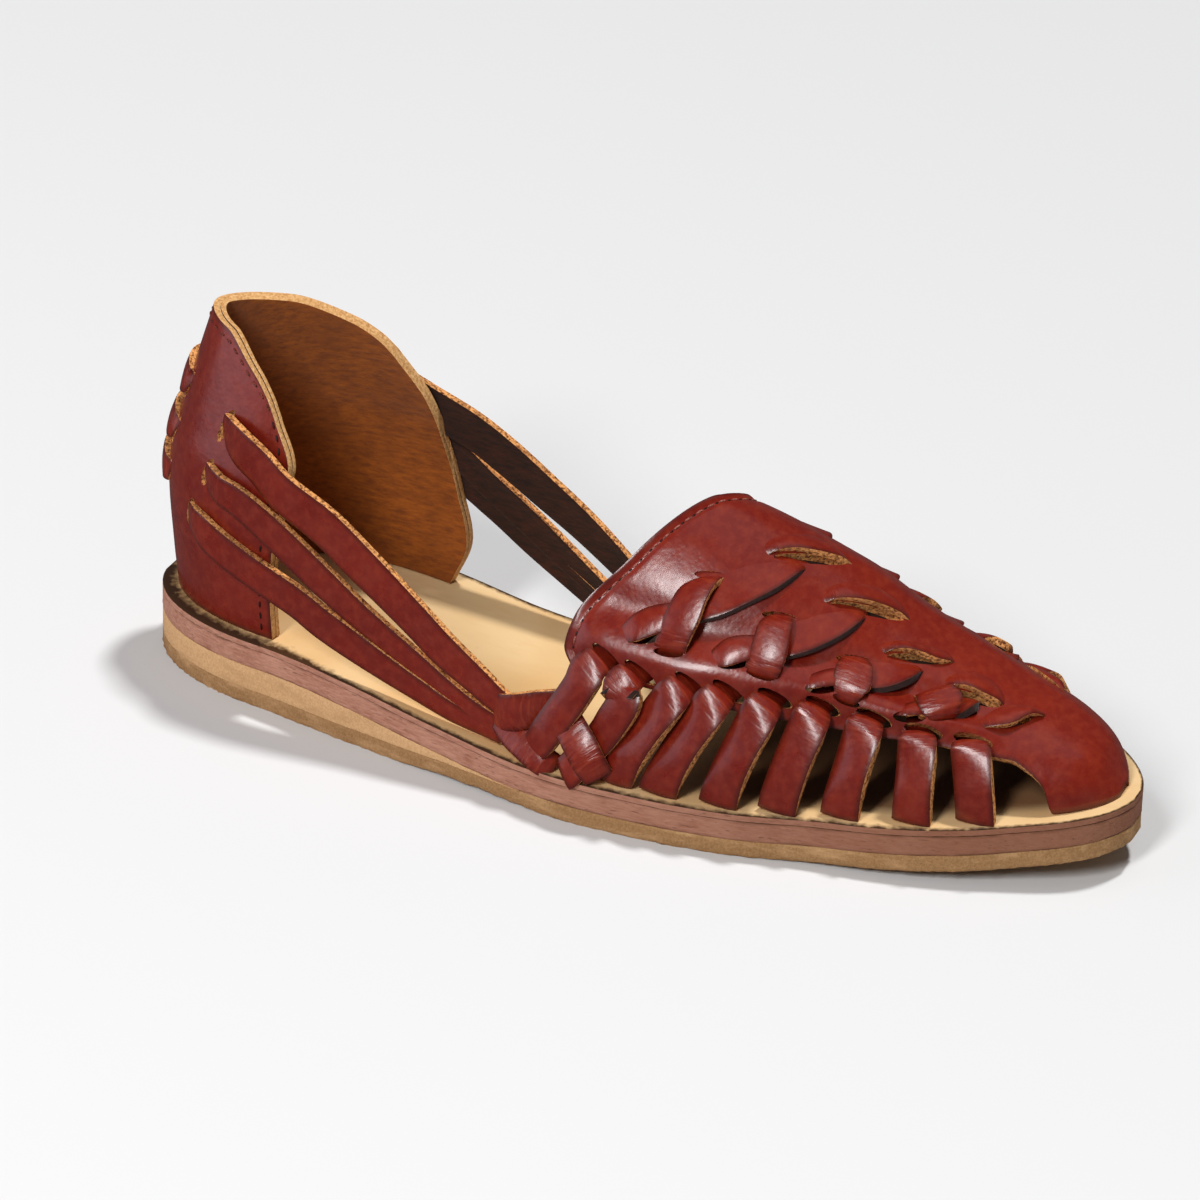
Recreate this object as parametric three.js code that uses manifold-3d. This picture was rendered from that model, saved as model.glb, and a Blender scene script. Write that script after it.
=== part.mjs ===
// A woven leather huarache sandal for the right foot, built as a maker would build it:
// rubber outsole and heel wedge, leather midsole and insole, a woven vamp with its strap
// legs, a heel counter, the thongs that tie the two together and the loops at the back.
// Millimetres. +Y runs from heel to toe, +X is the wearer's right (the lateral side), +Z is up.
import * as THREE from 'three';
import { mergeVertices } from 'three/addons/utils/BufferGeometryUtils.js';
import Module from 'manifold-3d';

const wasm = await Module();
wasm.setup();

// ---- driving dimensions -------------------------------------------------------------
const SOLE_LENGTH = 256;
const HEEL_CAP = 0.2; // share of the length over which the heel rounds off
const TOE_CAP = 0.37; // share of the length over which the toe rounds off
const TOE_POWER = 1.87; // roundness of the toe, 2 is an ellipse

const OUTSOLE_THICK = 4.2;
const MIDSOLE_THICK = 4.7;
const INSOLE_THICK = 1.8;
const FIT_GAP = 0.25; // air between two pieces that touch
const HEEL_LIFT = 6.2; // extra height of the heel over the ball
const LIFT_ENDS = [0.18, 0.46]; // the wedge falls away between these stations
const WEDGE_END = 0.42;
const TOE_SPRING = 8;
const SPRING_START = 0.62;
const ARCH_RISE = 0.8;
const ARCH_ENDS = [0.28, 0.5];

const UPPER_WALL = 2.4;
const TOE_TIP = 252.4; // where the toe cap meets the insole, from the heel
const NOSE_FLAT = 0.3; // the cap's nose is closed this far behind its tip
const LEG_COUNT = 9;
const LEG_WIDTH = 8.6;
const LEG_PROUD = 0.5; // legs stand this much outside the saddle
const LEG_TUCK = 0.07; // girth that a leg runs on under the saddle
const COUNTER_WALL = 3.2;
const STRAP_WIDTH = 7.4;
const STRAP_THICK = 2;

// Sole outline: share of length, offset of the middle line to the lateral side, half width.
const OUTLINE = [
  { at: 0, middle: -3.6, half: 31 },
  { at: 0.15, middle: -3.7, half: 30.3 },
  { at: 0.25, middle: -0.9, half: 32.2 },
  { at: 0.35, middle: 3, half: 33.2 },
  { at: 0.5, middle: 6, half: 36.9 },
  { at: 0.58, middle: 4.9, half: 37.9 },
  { at: 0.65, middle: 1.9, half: 39 },
  { at: 0.75, middle: -4, half: 42 },
  { at: 0.9, middle: -3.2, half: 43.9 },
  { at: 1, middle: 2.4, half: 44 },
];

// Vamp sections: distance from the heel, height over the insole, place of the ridge,
// inset of the strap feet from the sole edge, roundness of the lateral and medial sides.
const VAMP = [
  { at: 105, height: 64, ridge: -1, inset: 4.5, lateral: 1.6, medial: 2.2 },
  { at: 125, height: 62, ridge: -1, inset: 4.5, lateral: 1.6, medial: 2.2 },
  { at: 150, height: 58, ridge: -2, inset: 4, lateral: 1.6, medial: 2.1 },
  { at: 180, height: 46.5, ridge: -7, inset: 3.2, lateral: 1.65, medial: 1.6 },
  { at: 195, height: 37, ridge: -9, inset: 3.2, lateral: 1.75, medial: 1.45 },
  { at: 210, height: 29, ridge: -10, inset: 3.4, lateral: 1.9, medial: 1.4 },
  { at: 225, height: 21.6, ridge: -9, inset: 3.6, lateral: 2.1, medial: 1.45 },
  { at: 238, height: 15.8, ridge: -6, inset: 3.9, lateral: 2.3, medial: 1.6 },
  { at: 246, height: 10.8, ridge: -3, inset: 4, lateral: 2.4, medial: 1.8 },
  { at: TOE_TIP, height: 0.8, ridge: 0, inset: 4, lateral: 2.4, medial: 2.4 },
];

// Throat line of the vamp: across from medial -1 to lateral +1, distance from the heel.
const THROAT = [
  { at: -1, from: 131 },
  { at: -0.93, from: 128.5 },
  { at: -0.8, from: 133 },
  { at: -0.6, from: 141.5 },
  { at: -0.25, from: 150 },
  { at: 0.07, from: 145 },
  { at: 0.56, from: 132 },
  { at: 0.81, from: 122.8 },
  { at: 0.93, from: 121.5 },
  { at: 1, from: 124.5 },
];

// Lower edge of the saddle, then the arch of the toe cap: girth share, 1 is the insole.
const SADDLE_EDGE = [
  { at: 121, girth: 0.69 },
  { at: 165, girth: 0.68 },
  { at: 190, girth: 0.65 },
  { at: 215, girth: 0.59 },
  { at: 228, girth: 0.58 },
  { at: 233, girth: 0.65 },
  { at: 237, girth: 0.78 },
  { at: 239.5, girth: 1 },
  { at: TOE_TIP, girth: 1 },
];

// Legs: number of the leg, where it leaves the saddle, where it stands on the insole and
// how much further forward its twin on the medial side is.
const LEGS = [
  { leg: 0, top: 130.5, girth: 0.62, foot: 117, medial: 6 },
  { leg: 1, top: 142, girth: 0.63, foot: 128, medial: 5 },
  { leg: 4, top: 175.5, girth: 0.6, foot: 164.5, medial: 2 },
  { leg: 8, top: 219.5, girth: 0.5, foot: 223.5, medial: 0 },
];

// Heel counter: lean inwards with height, rim height across, and its front edges.
const LEAN = [
  { at: 0, inset: 4 },
  { at: 10, inset: 3 },
  { at: 30, inset: 1.8 },
  { at: 40, inset: 2.8 },
  { at: 48, inset: 5 },
  { at: 60, inset: 8.5 },
  { at: 70, inset: 11.5 },
  { at: 80, inset: 14.5 },
];
const RIM = [
  { at: -1, height: 61 },
  { at: -0.95, height: 64.5 },
  { at: -0.85, height: 68.5 },
  { at: -0.6, height: 73.5 },
  { at: 0, height: 75 },
  { at: 0.6, height: 73.5 },
  { at: 0.85, height: 66.5 },
  { at: 0.95, height: 61.5 },
  { at: 1, height: 57.5 },
];
const WING_FRONT = [
  { at: 0, medial: 67, lateral: 40 },
  { at: 0.2, medial: 71, lateral: 40 },
  { at: 0.4, medial: 67.5, lateral: 41 },
  { at: 0.6, medial: 63.5, lateral: 43 },
  { at: 0.8, medial: 60, lateral: 44 },
  { at: 1, medial: 52, lateral: 38 },
];

// Thongs: first round the counter (walk round the heel, height over the footbed), then free
// (distance from the heel, out from the foot's middle, height of the thong's middle).
const LATERAL_THONGS = [
  {
    wrap: [
      { walk: 0.84, up: 52.5 },
      { walk: 1.02, up: 49 },
      { walk: 1.25, up: 44 },
    ],
    free: [
      { at: 58, out: 27, up: 49.5 },
      { at: 74, out: 29.5, up: 40.5 },
      { at: 92, out: 33, up: 32 },
      { at: 107, out: 35.4, up: 21 },
    ],
  },
  {
    wrap: [
      { walk: 0.8, up: 40 },
      { walk: 1.02, up: 35.5 },
      { walk: 1.3, up: 30 },
    ],
    free: [
      { at: 60, out: 29.6, up: 38 },
      { at: 74, out: 30.8, up: 30.5 },
      { at: 90, out: 32.8, up: 23 },
      { at: 106, out: 35, up: 17.5 },
    ],
  },
  {
    wrap: [
      { walk: 0.68, up: 26.5 },
      { walk: 0.95, up: 22 },
      { walk: 1.25, up: 17 },
    ],
    free: [
      { at: 58, out: 30.6, up: 29.5 },
      { at: 76, out: 32, up: 24.5 },
      { at: 96, out: 33.8, up: 18.5 },
      { at: 105, out: 34.6, up: 16.2 },
    ],
  },
];
const MEDIAL_THONGS = [
  {
    wrap: [
      { walk: -0.84, up: 52.5 },
      { walk: -1.1, up: 48.5 },
      { walk: -1.5, up: 42 },
    ],
    free: [
      { at: 76, out: 31, up: 49.5 },
      { at: 94, out: 29, up: 41 },
      { at: 107, out: 27.5, up: 32.5 },
      { at: 114, out: 26.2, up: 21 },
    ],
  },
  {
    wrap: [
      { walk: -0.8, up: 40 },
      { walk: -1.1, up: 37 },
      { walk: -1.5, up: 33 },
    ],
    free: [
      { at: 78, out: 31.4, up: 42.5 },
      { at: 94, out: 29.2, up: 35 },
      { at: 107, out: 27.3, up: 26.5 },
      { at: 113.5, out: 26, up: 18.5 },
    ],
  },
  {
    wrap: [
      { walk: -0.68, up: 26.5 },
      { walk: -1.1, up: 25.5 },
      { walk: -1.55, up: 23.5 },
    ],
    free: [
      { at: 82, out: 31, up: 35 },
      { at: 96, out: 28.6, up: 27.5 },
      { at: 107, out: 26.8, up: 20.5 },
      { at: 113, out: 25.6, up: 16.2 },
    ],
  },
];

// Loops at the back, where each thong shows outside the counter: height over the footbed.
const BACK_LOOPS = [
  { name: 'back_loop_top', up: 57.5 },
  { name: 'back_loop_middle', up: 45.5 },
  { name: 'back_loop_bottom', up: 34 },
];
const LOOP_WALK = 0.38; // reach of a loop to each side of the heel's middle
const LOOP_DROP = 3; // a loop falls this much from its middle to its ends

// ---- small helpers ------------------------------------------------------------------
const clamp01 = (value) => Math.min(1, Math.max(0, value));
const mix = (from, to, share) => from + (to - from) * share;
const ease = (share) => clamp01(share) ** 2 * (3 - 2 * clamp01(share));
const range = (count) => Array.from({ length: count }, (_, index) => index);

/** A smooth curve through one column of a table, without overshoot between its rows. */
function column(rows, key, first = 'at') {
  const x = rows.map((row) => row[first]);
  const y = rows.map((row) => row[key]);
  const slope = range(x.length - 1).map((i) => (y[i + 1] - y[i]) / (x[i + 1] - x[i]));
  const tangent = x.map((_, i) => {
    const before = slope[Math.max(0, i - 1)];
    const after = slope[Math.min(slope.length - 1, i)];
    return before * after <= 0 ? 0 : (2 * before * after) / (before + after);
  });
  return (at) => {
    const place = Math.min(x[x.length - 1], Math.max(x[0], at));
    const i = Math.max(0, Math.min(x.length - 2, x.findIndex((value) => value > place) - 1));
    const k = place >= x[x.length - 1] ? x.length - 2 : i;
    const step = x[k + 1] - x[k];
    const s = (place - x[k]) / step;
    return (
      y[k] * (1 + 2 * s) * (1 - s) ** 2 +
      tangent[k] * step * s * (1 - s) ** 2 +
      y[k + 1] * s * s * (3 - 2 * s) +
      tangent[k + 1] * step * s * s * (s - 1)
    );
  };
}

/** A geometry of rings of points joined by bands, with its two ends closed by given faces. */
function banded(rings, closing) {
  const size = rings[0].length;
  const index = [];
  for (let r = 0; r < rings.length - 1; r += 1) {
    for (let i = 0; i < size; i += 1) {
      const a = r * size + i;
      const b = r * size + ((i + 1) % size);
      index.push(a, b, b + size, a, b + size, a + size);
    }
  }
  const last = (rings.length - 1) * size;
  closing.forEach(([a, b, c]) => index.push(a, b, c, last + a, last + c, last + b));
  const geometry = new THREE.BufferGeometry();
  const positions = rings.flat().flatMap((point) => [point.x, point.y, point.z]);
  geometry.setAttribute('position', new THREE.Float32BufferAttribute(positions, 3));
  geometry.setIndex(index);
  return geometry;
}

/** A closed body through four-cornered sections. */
const loft = (rings) => banded(rings, [[0, 2, 1], [0, 3, 2]]);

/** A wall between two skins, each a function of two shares from 0 to 1. */
function wall(outer, inner, acrossCount, alongCount) {
  const rings = range(alongCount + 1).map((j) => {
    const along = j / alongCount;
    const top = range(acrossCount + 1).map((i) => outer(i / acrossCount, along));
    const under = range(acrossCount + 1).map((i) => inner(1 - i / acrossCount, along));
    return [...top, ...under];
  });
  const far = 2 * acrossCount + 1;
  const closing = range(acrossCount).flatMap((i) => [
    [i, far - i, i + 1],
    [i + 1, far - i, far - i - 1],
  ]);
  return banded(rings, closing);
}

/** A solid of the boolean library, turned right side out. */
function solid(geometry) {
  const bare = geometry.clone();
  bare.deleteAttribute('normal');
  bare.deleteAttribute('uv');
  const merged = mergeVertices(bare, 1e-4);
  const make = (triVerts) =>
    new wasm.Manifold(
      new wasm.Mesh({ numProp: 3, vertProperties: merged.attributes.position.array, triVerts }),
    );
  const faces = Uint32Array.from(merged.index.array);
  const body = make(faces);
  if (body.volume() > 0) return body;
  const turned = faces.slice();
  for (let i = 0; i < turned.length; i += 3) {
    turned[i + 1] = faces[i + 2];
    turned[i + 2] = faces[i + 1];
  }
  return make(turned);
}

/** Back from the boolean library to a geometry. */
function geometryOf(body) {
  const mesh = body.getMesh();
  const geometry = new THREE.BufferGeometry();
  geometry.setAttribute('position', new THREE.BufferAttribute(mesh.vertProperties, 3));
  geometry.setIndex(new THREE.BufferAttribute(mesh.triVerts, 1));
  return geometry;
}

// ---- the last -----------------------------------------------------------------------
const middleAt = column(OUTLINE, 'middle');
const halfAt = column(OUTLINE, 'half');
const roundOff = (share, power) => (1 - clamp01(1 - share) ** power) ** (1 / power);

/** Edge of the sole at a share of its length; side is +1 lateral or -1 medial. */
function edge(t, side) {
  const width = halfAt(t) * roundOff(t / HEEL_CAP, 2) * roundOff((1 - t) / TOE_CAP, TOE_POWER);
  return middleAt(t) + side * width;
}

const lift = (t) => HEEL_LIFT * (1 - ease((t - LIFT_ENDS[0]) / (LIFT_ENDS[1] - LIFT_ENDS[0])));
const spring = (t) => TOE_SPRING * clamp01((t - SPRING_START) / (1 - SPRING_START)) ** 2;
const arch = (t) => {
  const share = clamp01((t - ARCH_ENDS[0]) / (ARCH_ENDS[1] - ARCH_ENDS[0]));
  return ARCH_RISE * Math.sin(Math.PI * share) ** 2;
};
const outsoleTop = (t) => OUTSOLE_THICK + spring(t);
const midsoleFoot = (t) => outsoleTop(t) + FIT_GAP + lift(t);
const insoleFoot = (t) => midsoleFoot(t) + MIDSOLE_THICK + FIT_GAP;
const insoleTop = (t) => insoleFoot(t) + INSOLE_THICK;
const footbed = (y) => insoleTop(y / SOLE_LENGTH) + FIT_GAP;

// ---- sole layers --------------------------------------------------------------------
/** A layer with the sole's outline between two height functions. */
function layer(bottom, top, from, to, count) {
  const rings = range(count + 1).map((i) => {
    const t = mix(from, to, 0.5 - 0.5 * Math.cos((Math.PI * i) / count));
    const y = t * SOLE_LENGTH;
    const left = edge(t, -1);
    const right = edge(t, 1);
    return [
      new THREE.Vector3(left, y, bottom(t)),
      new THREE.Vector3(right, y, bottom(t)),
      new THREE.Vector3(right, y, top(t)),
      new THREE.Vector3(left, y, top(t)),
    ];
  });
  return geometryOf(solid(loft(rings)));
}
const ENDS = [0.0012, 0.9988];
const outsole = layer((t) => spring(t) + arch(t), outsoleTop, ENDS[0], ENDS[1], 44);
const wedgeTop = (t) => outsoleTop(t) + lift(t);
const wedge = layer((t) => outsoleTop(t) + FIT_GAP, wedgeTop, ENDS[0], WEDGE_END, 24);
const midsole = layer(midsoleFoot, (t) => midsoleFoot(t) + MIDSOLE_THICK, ENDS[0], ENDS[1], 44);
const insole = layer(insoleFoot, insoleTop, ENDS[0], ENDS[1], 44);

// ---- vamp ---------------------------------------------------------------------------
const vampHeight = column(VAMP, 'height');
const vampRidge = column(VAMP, 'ridge');
const vampInset = column(VAMP, 'inset');
const vampLateral = column(VAMP, 'lateral');
const vampMedial = column(VAMP, 'medial');

/** A point on the vamp: y along the foot, girth from -1 medial to +1 lateral, depth inwards. */
function vampPoint(y, girth, depth) {
  const nose = ease((y - 225) / (TOE_TIP - 225));
  const back = y - Math.max(0, depth) * nose;
  const t = back / SOLE_LENGTH;
  const side = girth > 0 ? 1 : -1;
  const ridge = vampRidge(back);
  const round = roundOff((TOE_TIP - back) / (TOE_CAP * SOLE_LENGTH), TOE_POWER);
  const foot = middleAt(t) + side * ((halfAt(t) - vampInset(back)) * round - depth);
  const reach = Math.abs(foot - ridge);
  const power = side > 0 ? vampLateral(back) : vampMedial(back);
  const turn = ((1 - Math.min(1, Math.abs(girth))) * Math.PI) / 2;
  const tall = Math.max(0.4, vampHeight(back) - depth);
  const out = Math.cos(turn) ** (2 / power);
  const up = Math.sin(turn) ** (2 / power);
  return new THREE.Vector3(ridge + side * reach * out, back, footbed(back) + tall * up);
}

const throatAt = column(THROAT, 'from');
const saddleEdge = column(SADDLE_EDGE, 'girth');

/** The saddle and toe cap in one: across runs medial to lateral, along runs throat to toe. */
function saddlePoint(across, along, depth) {
  const share = 2 * across - 1;
  const y = mix(throatAt(share), TOE_TIP - NOSE_FLAT, along);
  return vampPoint(y, share * saddleEdge(y), depth);
}
const saddle = wall(
  (across, along) => saddlePoint(across, along, 0),
  (across, along) => saddlePoint(across, along, UPPER_WALL),
  20,
  34,
);

const legTop = column(LEGS, 'top', 'leg');
const legGirth = column(LEGS, 'girth', 'leg');
const legFoot = column(LEGS, 'foot', 'leg');
const legMedial = column(LEGS, 'medial', 'leg');

/** One strap leg from under the saddle's edge down to the insole. */
function leg(number, side) {
  const forward = side < 0 ? legMedial(number) : 0;
  const point = (across, along, depth) => {
    const middle = mix(legTop(number), legFoot(number), along) + forward;
    const y = middle + (across - 0.5) * LEG_WIDTH;
    return vampPoint(y, side * mix(legGirth(number) - LEG_TUCK, 1, along), depth);
  };
  return wall(
    (across, along) => point(across, along, -LEG_PROUD),
    (across, along) => point(across, along, UPPER_WALL - LEG_PROUD),
    1,
    6,
  );
}
const legs = range(LEG_COUNT).flatMap((number) => [leg(number, 1), leg(number, -1)]);
const upper = legs.reduce((body, piece) => body.add(solid(piece)), solid(saddle));

// ---- heel counter -------------------------------------------------------------------
const lean = column(LEAN, 'inset');
const rimHeight = column(RIM, 'height');
const wingFront = {
  '-1': column(WING_FRONT, 'medial'),
  1: column(WING_FRONT, 'lateral'),
};

/** Walk round the heel: 0 is the back, lateral positive, pi/2 is where the sides run straight. */
function heelStation(walk) {
  const turn = Math.abs(walk);
  const quarter = Math.PI / 2;
  return turn < quarter ? HEEL_CAP * (1 - Math.cos(turn)) : HEEL_CAP * (1 + turn - quarter);
}

/** The walk that reaches a distance from the heel's back. */
function walkTo(y) {
  const share = y / SOLE_LENGTH / HEEL_CAP;
  return share < 1 ? Math.acos(1 - share) : Math.PI / 2 + share - 1;
}

/** A point on the counter's outer skin, then inwards by depth. */
function counterPoint(walk, up, depth) {
  const plan = (at) => {
    const t = heelStation(at);
    return new THREE.Vector2(edge(t, at < 0 ? -1 : 1), t * SOLE_LENGTH);
  };
  const small = 0.02;
  const along = plan(walk + small).sub(plan(walk - small)).normalize();
  const inward = new THREE.Vector2(-along.y, along.x);
  const place = plan(walk).addScaledVector(inward, lean(up) + depth);
  return new THREE.Vector3(place.x, place.y, footbed(place.y) + up);
}
function counterSkin(across, along, depth) {
  const share = 2 * across - 1;
  const side = share < 0 ? -1 : 1;
  const walk = share * walkTo(wingFront[side](along));
  return counterPoint(walk, along * rimHeight(share), depth);
}
const cup = wall(
  (across, along) => counterSkin(across, along, 0),
  (across, along) => counterSkin(across, along, COUNTER_WALL),
  32,
  11,
);

// ---- thongs -------------------------------------------------------------------------
const THONG_OUT = STRAP_THICK / 2 + FIT_GAP; // middle of a thong lying on the counter

/** A flat thong along a list of places; swell makes it larger all round, for its slot. */
function thong(places, count, swell) {
  const path = new THREE.CatmullRomCurve3(places, false, 'centripetal');
  const rings = range(count + 1).map((i) => {
    const ahead = path.getTangentAt(i / count);
    const face = new THREE.Vector3(ahead.y, -ahead.x, 0).normalize();
    const wide = new THREE.Vector3().crossVectors(face, ahead).normalize();
    const halfWide = STRAP_WIDTH / 2 + swell;
    const halfThick = STRAP_THICK / 2 + swell;
    const centre = path.getPointAt(i / count);
    const corner = (a, b) =>
      centre.clone().addScaledVector(wide, a * halfWide).addScaledVector(face, b * halfThick);
    return [corner(-1, -1), corner(1, -1), corner(1, 1), corner(-1, 1)];
  });
  return solid(loft(rings));
}

/** A side thong's places: out of the counter's wall, along its skin, then free to the sole. */
function sidePlaces({ wrap, free }, side) {
  const root = counterPoint(wrap[0].walk - side * 0.05, wrap[0].up + 1, COUNTER_WALL * 0.45);
  const laid = wrap.map(({ walk, up }) => counterPoint(walk, up, -THONG_OUT));
  const hung = free.map(({ at, out, up }) => new THREE.Vector3(side * out, at, up));
  return [root, ...laid.slice(1), ...hung];
}

/** A back loop's places: it rises out of the wall, crosses the heel and dives in again. */
function loopPlaces(up) {
  return range(7).map((i) => {
    const across = i / 3 - 1;
    const end = Math.abs(across) === 1;
    const drop = LOOP_DROP * across * across;
    return counterPoint(across * LOOP_WALK, up - drop, end ? COUNTER_WALL * 0.45 : -THONG_OUT);
  });
}
const SIDE_STEPS = 16;
const LOOP_STEPS = 10;
const sideBodies = (tables, side, swell) =>
  tables.map((table) => thong(sidePlaces(table, side), SIDE_STEPS, swell));
const loopBody = (up, swell) => thong(loopPlaces(up), LOOP_STEPS, swell);
const join = (bodies) => bodies.reduce((sum, body) => sum.add(body));
const lateralThongs = join(sideBodies(LATERAL_THONGS, 1, 0));
const medialThongs = join(sideBodies(MEDIAL_THONGS, -1, 0));
const slots = [
  ...sideBodies(LATERAL_THONGS, 1, FIT_GAP),
  ...sideBodies(MEDIAL_THONGS, -1, FIT_GAP),
  ...BACK_LOOPS.map(({ up }) => loopBody(up, FIT_GAP)),
];
const counter = slots.reduce((body, slot) => body.subtract(slot), solid(cup));

// ---- materials and scene ------------------------------------------------------------
const LEATHER_RED = { color: 0x7a2f24, roughness: 0.42, metalness: 0 };
const finishes = {
  outsole: { color: 0xc29a6c, roughness: 0.85, metalness: 0 },
  wedge: { color: 0xb98f60, roughness: 0.85, metalness: 0 },
  midsole: { color: 0xb98068, roughness: 0.75, metalness: 0 },
  insole: { color: 0xe2c091, roughness: 0.6, metalness: 0 },
};

function piece(name, geometry, finish) {
  const mesh = new THREE.Mesh(geometry, new THREE.MeshStandardMaterial(finish));
  mesh.name = name;
  return mesh;
}

const shoe = new THREE.Group();
shoe.add(
  piece('outsole', outsole, finishes.outsole),
  piece('heel_wedge', wedge, finishes.wedge),
  piece('midsole', midsole, finishes.midsole),
  piece('insole', insole, finishes.insole),
  piece('upper', geometryOf(upper), LEATHER_RED),
  piece('heel_counter', geometryOf(counter), LEATHER_RED),
  piece('side_straps_lateral', geometryOf(lateralThongs), LEATHER_RED),
  piece('side_straps_medial', geometryOf(medialThongs), LEATHER_RED),
  ...BACK_LOOPS.map(({ name, up }) => piece(name, geometryOf(loopBody(up, 0)), LEATHER_RED)),
);
const bounds = new THREE.Box3().setFromObject(shoe);
const centre = bounds.getCenter(new THREE.Vector3());
shoe.position.set(-centre.x, -centre.y, -bounds.min.z);
const model = new THREE.Group();
model.add(shoe);

export default model;
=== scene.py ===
import math

import bpy
import numpy as np
from bpy.props import FloatProperty, FloatVectorProperty, PointerProperty
from mathutils import Matrix, Vector, noise


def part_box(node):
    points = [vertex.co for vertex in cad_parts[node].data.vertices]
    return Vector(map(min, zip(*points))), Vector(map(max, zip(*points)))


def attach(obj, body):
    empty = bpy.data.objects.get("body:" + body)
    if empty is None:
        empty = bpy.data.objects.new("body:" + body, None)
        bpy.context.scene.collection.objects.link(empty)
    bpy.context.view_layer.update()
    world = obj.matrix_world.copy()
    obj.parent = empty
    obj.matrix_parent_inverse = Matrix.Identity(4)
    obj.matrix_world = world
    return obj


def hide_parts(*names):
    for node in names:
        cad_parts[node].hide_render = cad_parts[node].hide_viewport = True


bl_info = {
    "name": "Huarache sandal",
    "version": (1, 0, 0),
    "blender": (4, 5, 0),
    "location": "View3D > Sidebar > Sandal",
    "description": "Builds the leather, thread and rubber of a woven huarache sandal",
    "category": "Add Mesh",
}

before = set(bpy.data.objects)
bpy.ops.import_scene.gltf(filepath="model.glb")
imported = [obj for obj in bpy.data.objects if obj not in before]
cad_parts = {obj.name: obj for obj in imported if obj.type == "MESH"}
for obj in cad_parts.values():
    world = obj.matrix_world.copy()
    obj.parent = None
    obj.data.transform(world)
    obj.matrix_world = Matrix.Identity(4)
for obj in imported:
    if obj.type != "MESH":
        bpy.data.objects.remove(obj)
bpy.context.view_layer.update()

MM = 0.001


# ---- the last: millimetres, heel at y 0, floor at z 0, +x the lateral side -----------
def table(names, *rows):
    """A short table with named columns."""
    return {name: np.array(column, float) for name, column in zip(names.split(), zip(*rows))}


SOLE_LENGTH = 256
HEEL_CAP = 0.2
TOE_CAP = 0.37
TOE_POWER = 1.87
OUTSOLE_THICK = 4.2
MIDSOLE_THICK = 4.7
INSOLE_THICK = 1.8
FIT_GAP = 0.25
HEEL_LIFT = 6.2
LIFT_ENDS = (0.18, 0.46)
WEDGE_END = 0.42
TOE_SPRING = 8
SPRING_START = 0.62
ARCH_RISE = 0.8
ARCH_ENDS = (0.28, 0.5)
END_SHARE = 0.0012
TOE_TIP = 252.4
NOSE_FLAT = 0.3
LEAST_RIDGE = 0.4  # height of the vamp's ridge where it runs out at the toe
SLOPE_STEPS = (0.4, 0.012)  # the steps in y and in girth over which slopes are taken
WALK_STEP = 0.02
WIDEST = (0.3, 0.99)  # the share of the sole's length in which it is widest

OUTLINE = table(
    "at middle half",
    (0, -3.6, 31),
    (0.15, -3.7, 30.3),
    (0.25, -0.9, 32.2),
    (0.35, 3, 33.2),
    (0.5, 6, 36.9),
    (0.58, 4.9, 37.9),
    (0.65, 1.9, 39),
    (0.75, -4, 42),
    (0.9, -3.2, 43.9),
    (1, 2.4, 44),
)
VAMP = table(
    "at height ridge inset lateral medial",
    (105, 64, -1, 4.5, 1.6, 2.2),
    (125, 62, -1, 4.5, 1.6, 2.2),
    (150, 58, -2, 4, 1.6, 2.1),
    (180, 46.5, -7, 3.2, 1.65, 1.6),
    (195, 37, -9, 3.2, 1.75, 1.45),
    (210, 29, -10, 3.4, 1.9, 1.4),
    (225, 21.6, -9, 3.6, 2.1, 1.45),
    (238, 15.8, -6, 3.9, 2.3, 1.6),
    (246, 10.8, -3, 4, 2.4, 1.8),
    (TOE_TIP, 0.8, 0, 4, 2.4, 2.4),
)
THROAT = table(
    "at start",
    (-1, 131),
    (-0.93, 128.5),
    (-0.8, 133),
    (-0.6, 141.5),
    (-0.25, 150),
    (0.07, 145),
    (0.56, 132),
    (0.81, 122.8),
    (0.93, 121.5),
    (1, 124.5),
)
SADDLE_EDGE = table(
    "at girth",
    (121, 0.69),
    (165, 0.68),
    (190, 0.65),
    (215, 0.59),
    (228, 0.58),
    (233, 0.65),
    (237, 0.78),
    (239.5, 1),
    (TOE_TIP, 1),
)
LEGS = table(
    "leg top girth foot medial",
    (0, 131.8, 0.638, 117, 6),
    (1, 140.5, 0.653, 127, 5),
    (2, 152.9, 0.644, 138.8, 4),
    (3, 161.9, 0.634, 150, 3),
    (4, 172.4, 0.616, 164.5, 2),
    (5, 183.2, 0.6, 178, 1.5),
    (6, 195.1, 0.573, 192.7, 1),
    (7, 206.7, 0.56, 209.1, 0.5),
    (8, 218, 0.527, 223, 0),
)
LEAN = table(
    "at inset",
    (0, 4),
    (10, 3),
    (30, 1.8),
    (40, 2.8),
    (48, 5),
    (60, 8.5),
    (70, 11.5),
    (80, 14.5),
)
RIM = table(
    "at height",
    (-1, 61),
    (-0.95, 64.5),
    (-0.85, 68.5),
    (-0.6, 73.5),
    (0, 75),
    (0.6, 73.5),
    (0.85, 66.5),
    (0.95, 61.5),
    (1, 57.5),
)
WING_FRONT = table(
    "at medial lateral",
    (0, 67, 40),
    (0.2, 71, 40),
    (0.4, 67.5, 41),
    (0.6, 63.5, 43),
    (0.8, 60, 44),
    (1, 52, 38),
)


def bent_step(start, end, leaving, arriving, s):
    """A smooth step from start to end that leaves and arrives at the given slopes."""
    return (
        start * (1 + 2 * s) * (1 - s) ** 2
        + leaving * s * (1 - s) ** 2
        + end * s * s * (3 - 2 * s)
        + arriving * s * s * (s - 1)
    )


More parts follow.
